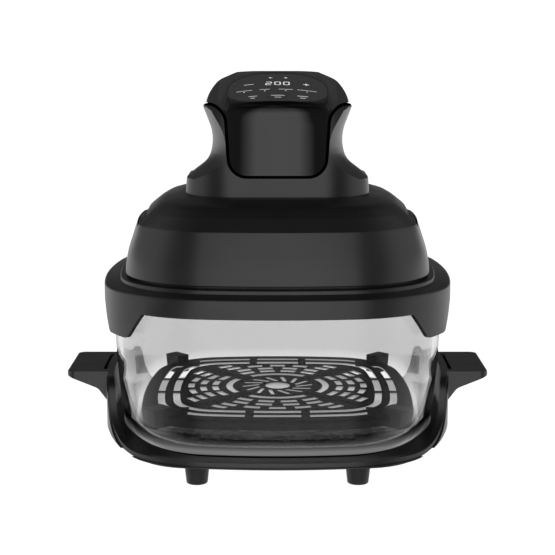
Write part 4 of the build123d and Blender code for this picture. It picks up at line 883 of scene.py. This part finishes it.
def studio_world(background, brightness):
    """Soft light: a card in front, grey sides and backdrop with dark gaps between, and a dim ceiling."""
    world = bpy.data.worlds.new("studio")
    bpy.context.scene.world = world
    world.use_nodes = True
    tree = world.node_tree
    tree.nodes.clear()
    way = add(tree, "ShaderNodeTexCoord").outputs["Generated"]
    split = add(tree, "ShaderNodeSeparateXYZ", {0: way})
    aside, along, up = split.outputs
    back = add(tree, "ShaderNodeMath", {0: along, 1: -1.0}, operation="MULTIPLY").outputs[0]
    turn = add(tree, "ShaderNodeMath", {0: aside, 1: back}, operation="ARCTAN2").outputs[0]
    sideways = add(tree, "ShaderNodeMath", {0: turn}, operation="ABSOLUTE").outputs[0]
    share = add(tree, "ShaderNodeMath", {0: sideways, 1: math.pi}, operation="DIVIDE").outputs[0]
    height = add(tree, "ShaderNodeMapRange", {0: up, 1: -1.0, 2: 1.0, 3: 0.0, 4: 1.0}).outputs[0]
    greys = []
    for factor, stops in ((share, LOW_LIGHT), (share, HIGH_LIGHT), (height, HORIZON), (height, CEILING)):
        ramp = add(tree, "ShaderNodeValToRGB", {"Fac": factor})
        grades = ramp.color_ramp.elements
        while len(grades) > 1:
            grades.remove(grades[0])
        grades[0].position = stops[0][0]
        for place, _ in stops[1:]:
            grades.new(place)
        for grade, (_, value) in zip(grades, stops):
            grade.color = (value, value, value, 1)
        greys.append(ramp.outputs["Color"])
    low, high, horizon, ceiling = greys
    level = add(tree, "ShaderNodeMix", {0: horizon, 6: low, 7: high}, data_type="RGBA").outputs[2]
    light = add(
        tree, "ShaderNodeMix", {0: 1.0, 6: level, 7: ceiling}, data_type="RGBA", blend_type="MULTIPLY"
    ).outputs[2]
    seen = add(tree, "ShaderNodeLightPath").outputs["Is Camera Ray"]
    studio = add(tree, "ShaderNodeBackground", {"Color": light, "Strength": brightness})
    plain = add(tree, "ShaderNodeBackground", {"Color": (1, 1, 1, 1), "Strength": background})
    both = add(tree, "ShaderNodeMixShader", {0: seen, 1: studio.outputs[0], 2: plain.outputs[0]})
    output = add(tree, "ShaderNodeOutputWorld")
    tree.links.new(both.outputs[0], output.inputs["Surface"])


def studio_floor(stage):
    """A white floor that glows just enough to stay white, and that the gloss doesn't mirror."""
    paper, *_ = new_material(
        "white_paper_floor",
        {
            "Base Color": FLOOR_GREY,
            "Emission Color": (*stage.floor, 1.0),
            "Emission Strength": 1.0,
            "Roughness": 1.0,
            "Specular IOR Level": 0.0,
        },
    )
    half = stage.floor_size / 2
    corners = [(-half, -half, 0), (half, -half, 0), (half, half, 0), (-half, half, 0)]
    mesh = bpy.data.meshes.new("floor")
    mesh.from_pydata(corners, [], [(0, 1, 2, 3)])
    mesh.materials.append(paper)
    floor = bpy.data.objects.new("floor", mesh)
    bpy.context.scene.collection.objects.link(floor)
    floor.visible_glossy = False
    floor.visible_diffuse = False


class FRYER_OT_stage(bpy.types.Operator):
    """Sets the floor, the light and the camera."""

    bl_idname = "fryer.stage"
    bl_label = "Stage"

    def execute(self, context):
        stage = context.scene.fryer_stage
        studio_world(stage.background, stage.light)
        studio_floor(stage)
        view = bpy.data.cameras.new("camera")
        view.lens = stage.lens
        view.sensor_width = SENSOR_WIDTH
        view.clip_end = VIEW_REACH
        camera = bpy.data.objects.new("camera", view)
        bpy.context.scene.collection.objects.link(camera)
        camera.location = (0.0, -stage.distance, stage.height)
        camera.rotation_euler = (math.pi / 2 - stage.tilt, 0.0, 0.0)
        context.scene.camera = camera
        context.scene.view_settings.view_transform = "Standard"
        return {"FINISHED"}


class FRYER_PT_panel(bpy.types.Panel):
    """Lists the pieces and the values that can be changed."""

    bl_label = "Air fryer"
    bl_idname = "FRYER_PT_panel"
    bl_space_type = "VIEW_3D"
    bl_region_type = "UI"
    bl_category = "Air fryer"

    def draw(self, context):
        scene = context.scene
        for group in (scene.fryer_finish, scene.fryer_display, scene.fryer_stage):
            box = self.layout.box()
            for name in group.__annotations__:
                box.prop(group, name)
        for operator in OPERATORS:
            self.layout.operator(operator.bl_idname)


OPERATORS = (
    FRYER_OT_tray,
    FRYER_OT_bowl,
    FRYER_OT_plate,
    FRYER_OT_housing,
    FRYER_OT_handle,
    FRYER_OT_marks,
    FRYER_OT_heating,
    FRYER_OT_electronics,
    FRYER_OT_stage,
)
GROUPS = {"fryer_finish": FryerFinish, "fryer_display": FryerDisplay, "fryer_stage": FryerStage}


def register():
    """Registers the groups of values, the operators and the panel."""
    for group in GROUPS.values():
        bpy.utils.register_class(group)
    for name, group in GROUPS.items():
        setattr(bpy.types.Scene, name, PointerProperty(type=group))
    for kind in (*OPERATORS, FRYER_PT_panel):
        bpy.utils.register_class(kind)


def unregister():
    """Takes back what register did, in the opposite order."""
    for kind in (FRYER_PT_panel, *reversed(OPERATORS)):
        bpy.utils.unregister_class(kind)
    for name in GROUPS:
        delattr(bpy.types.Scene, name)
    for group in GROUPS.values():
        bpy.utils.unregister_class(group)


def main():
    """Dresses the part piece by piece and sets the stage."""
    register()
    for operator in OPERATORS:
        group, name = operator.bl_idname.split(".")
        getattr(getattr(bpy.ops, group), name)()


if __name__ == "__main__":
    main()
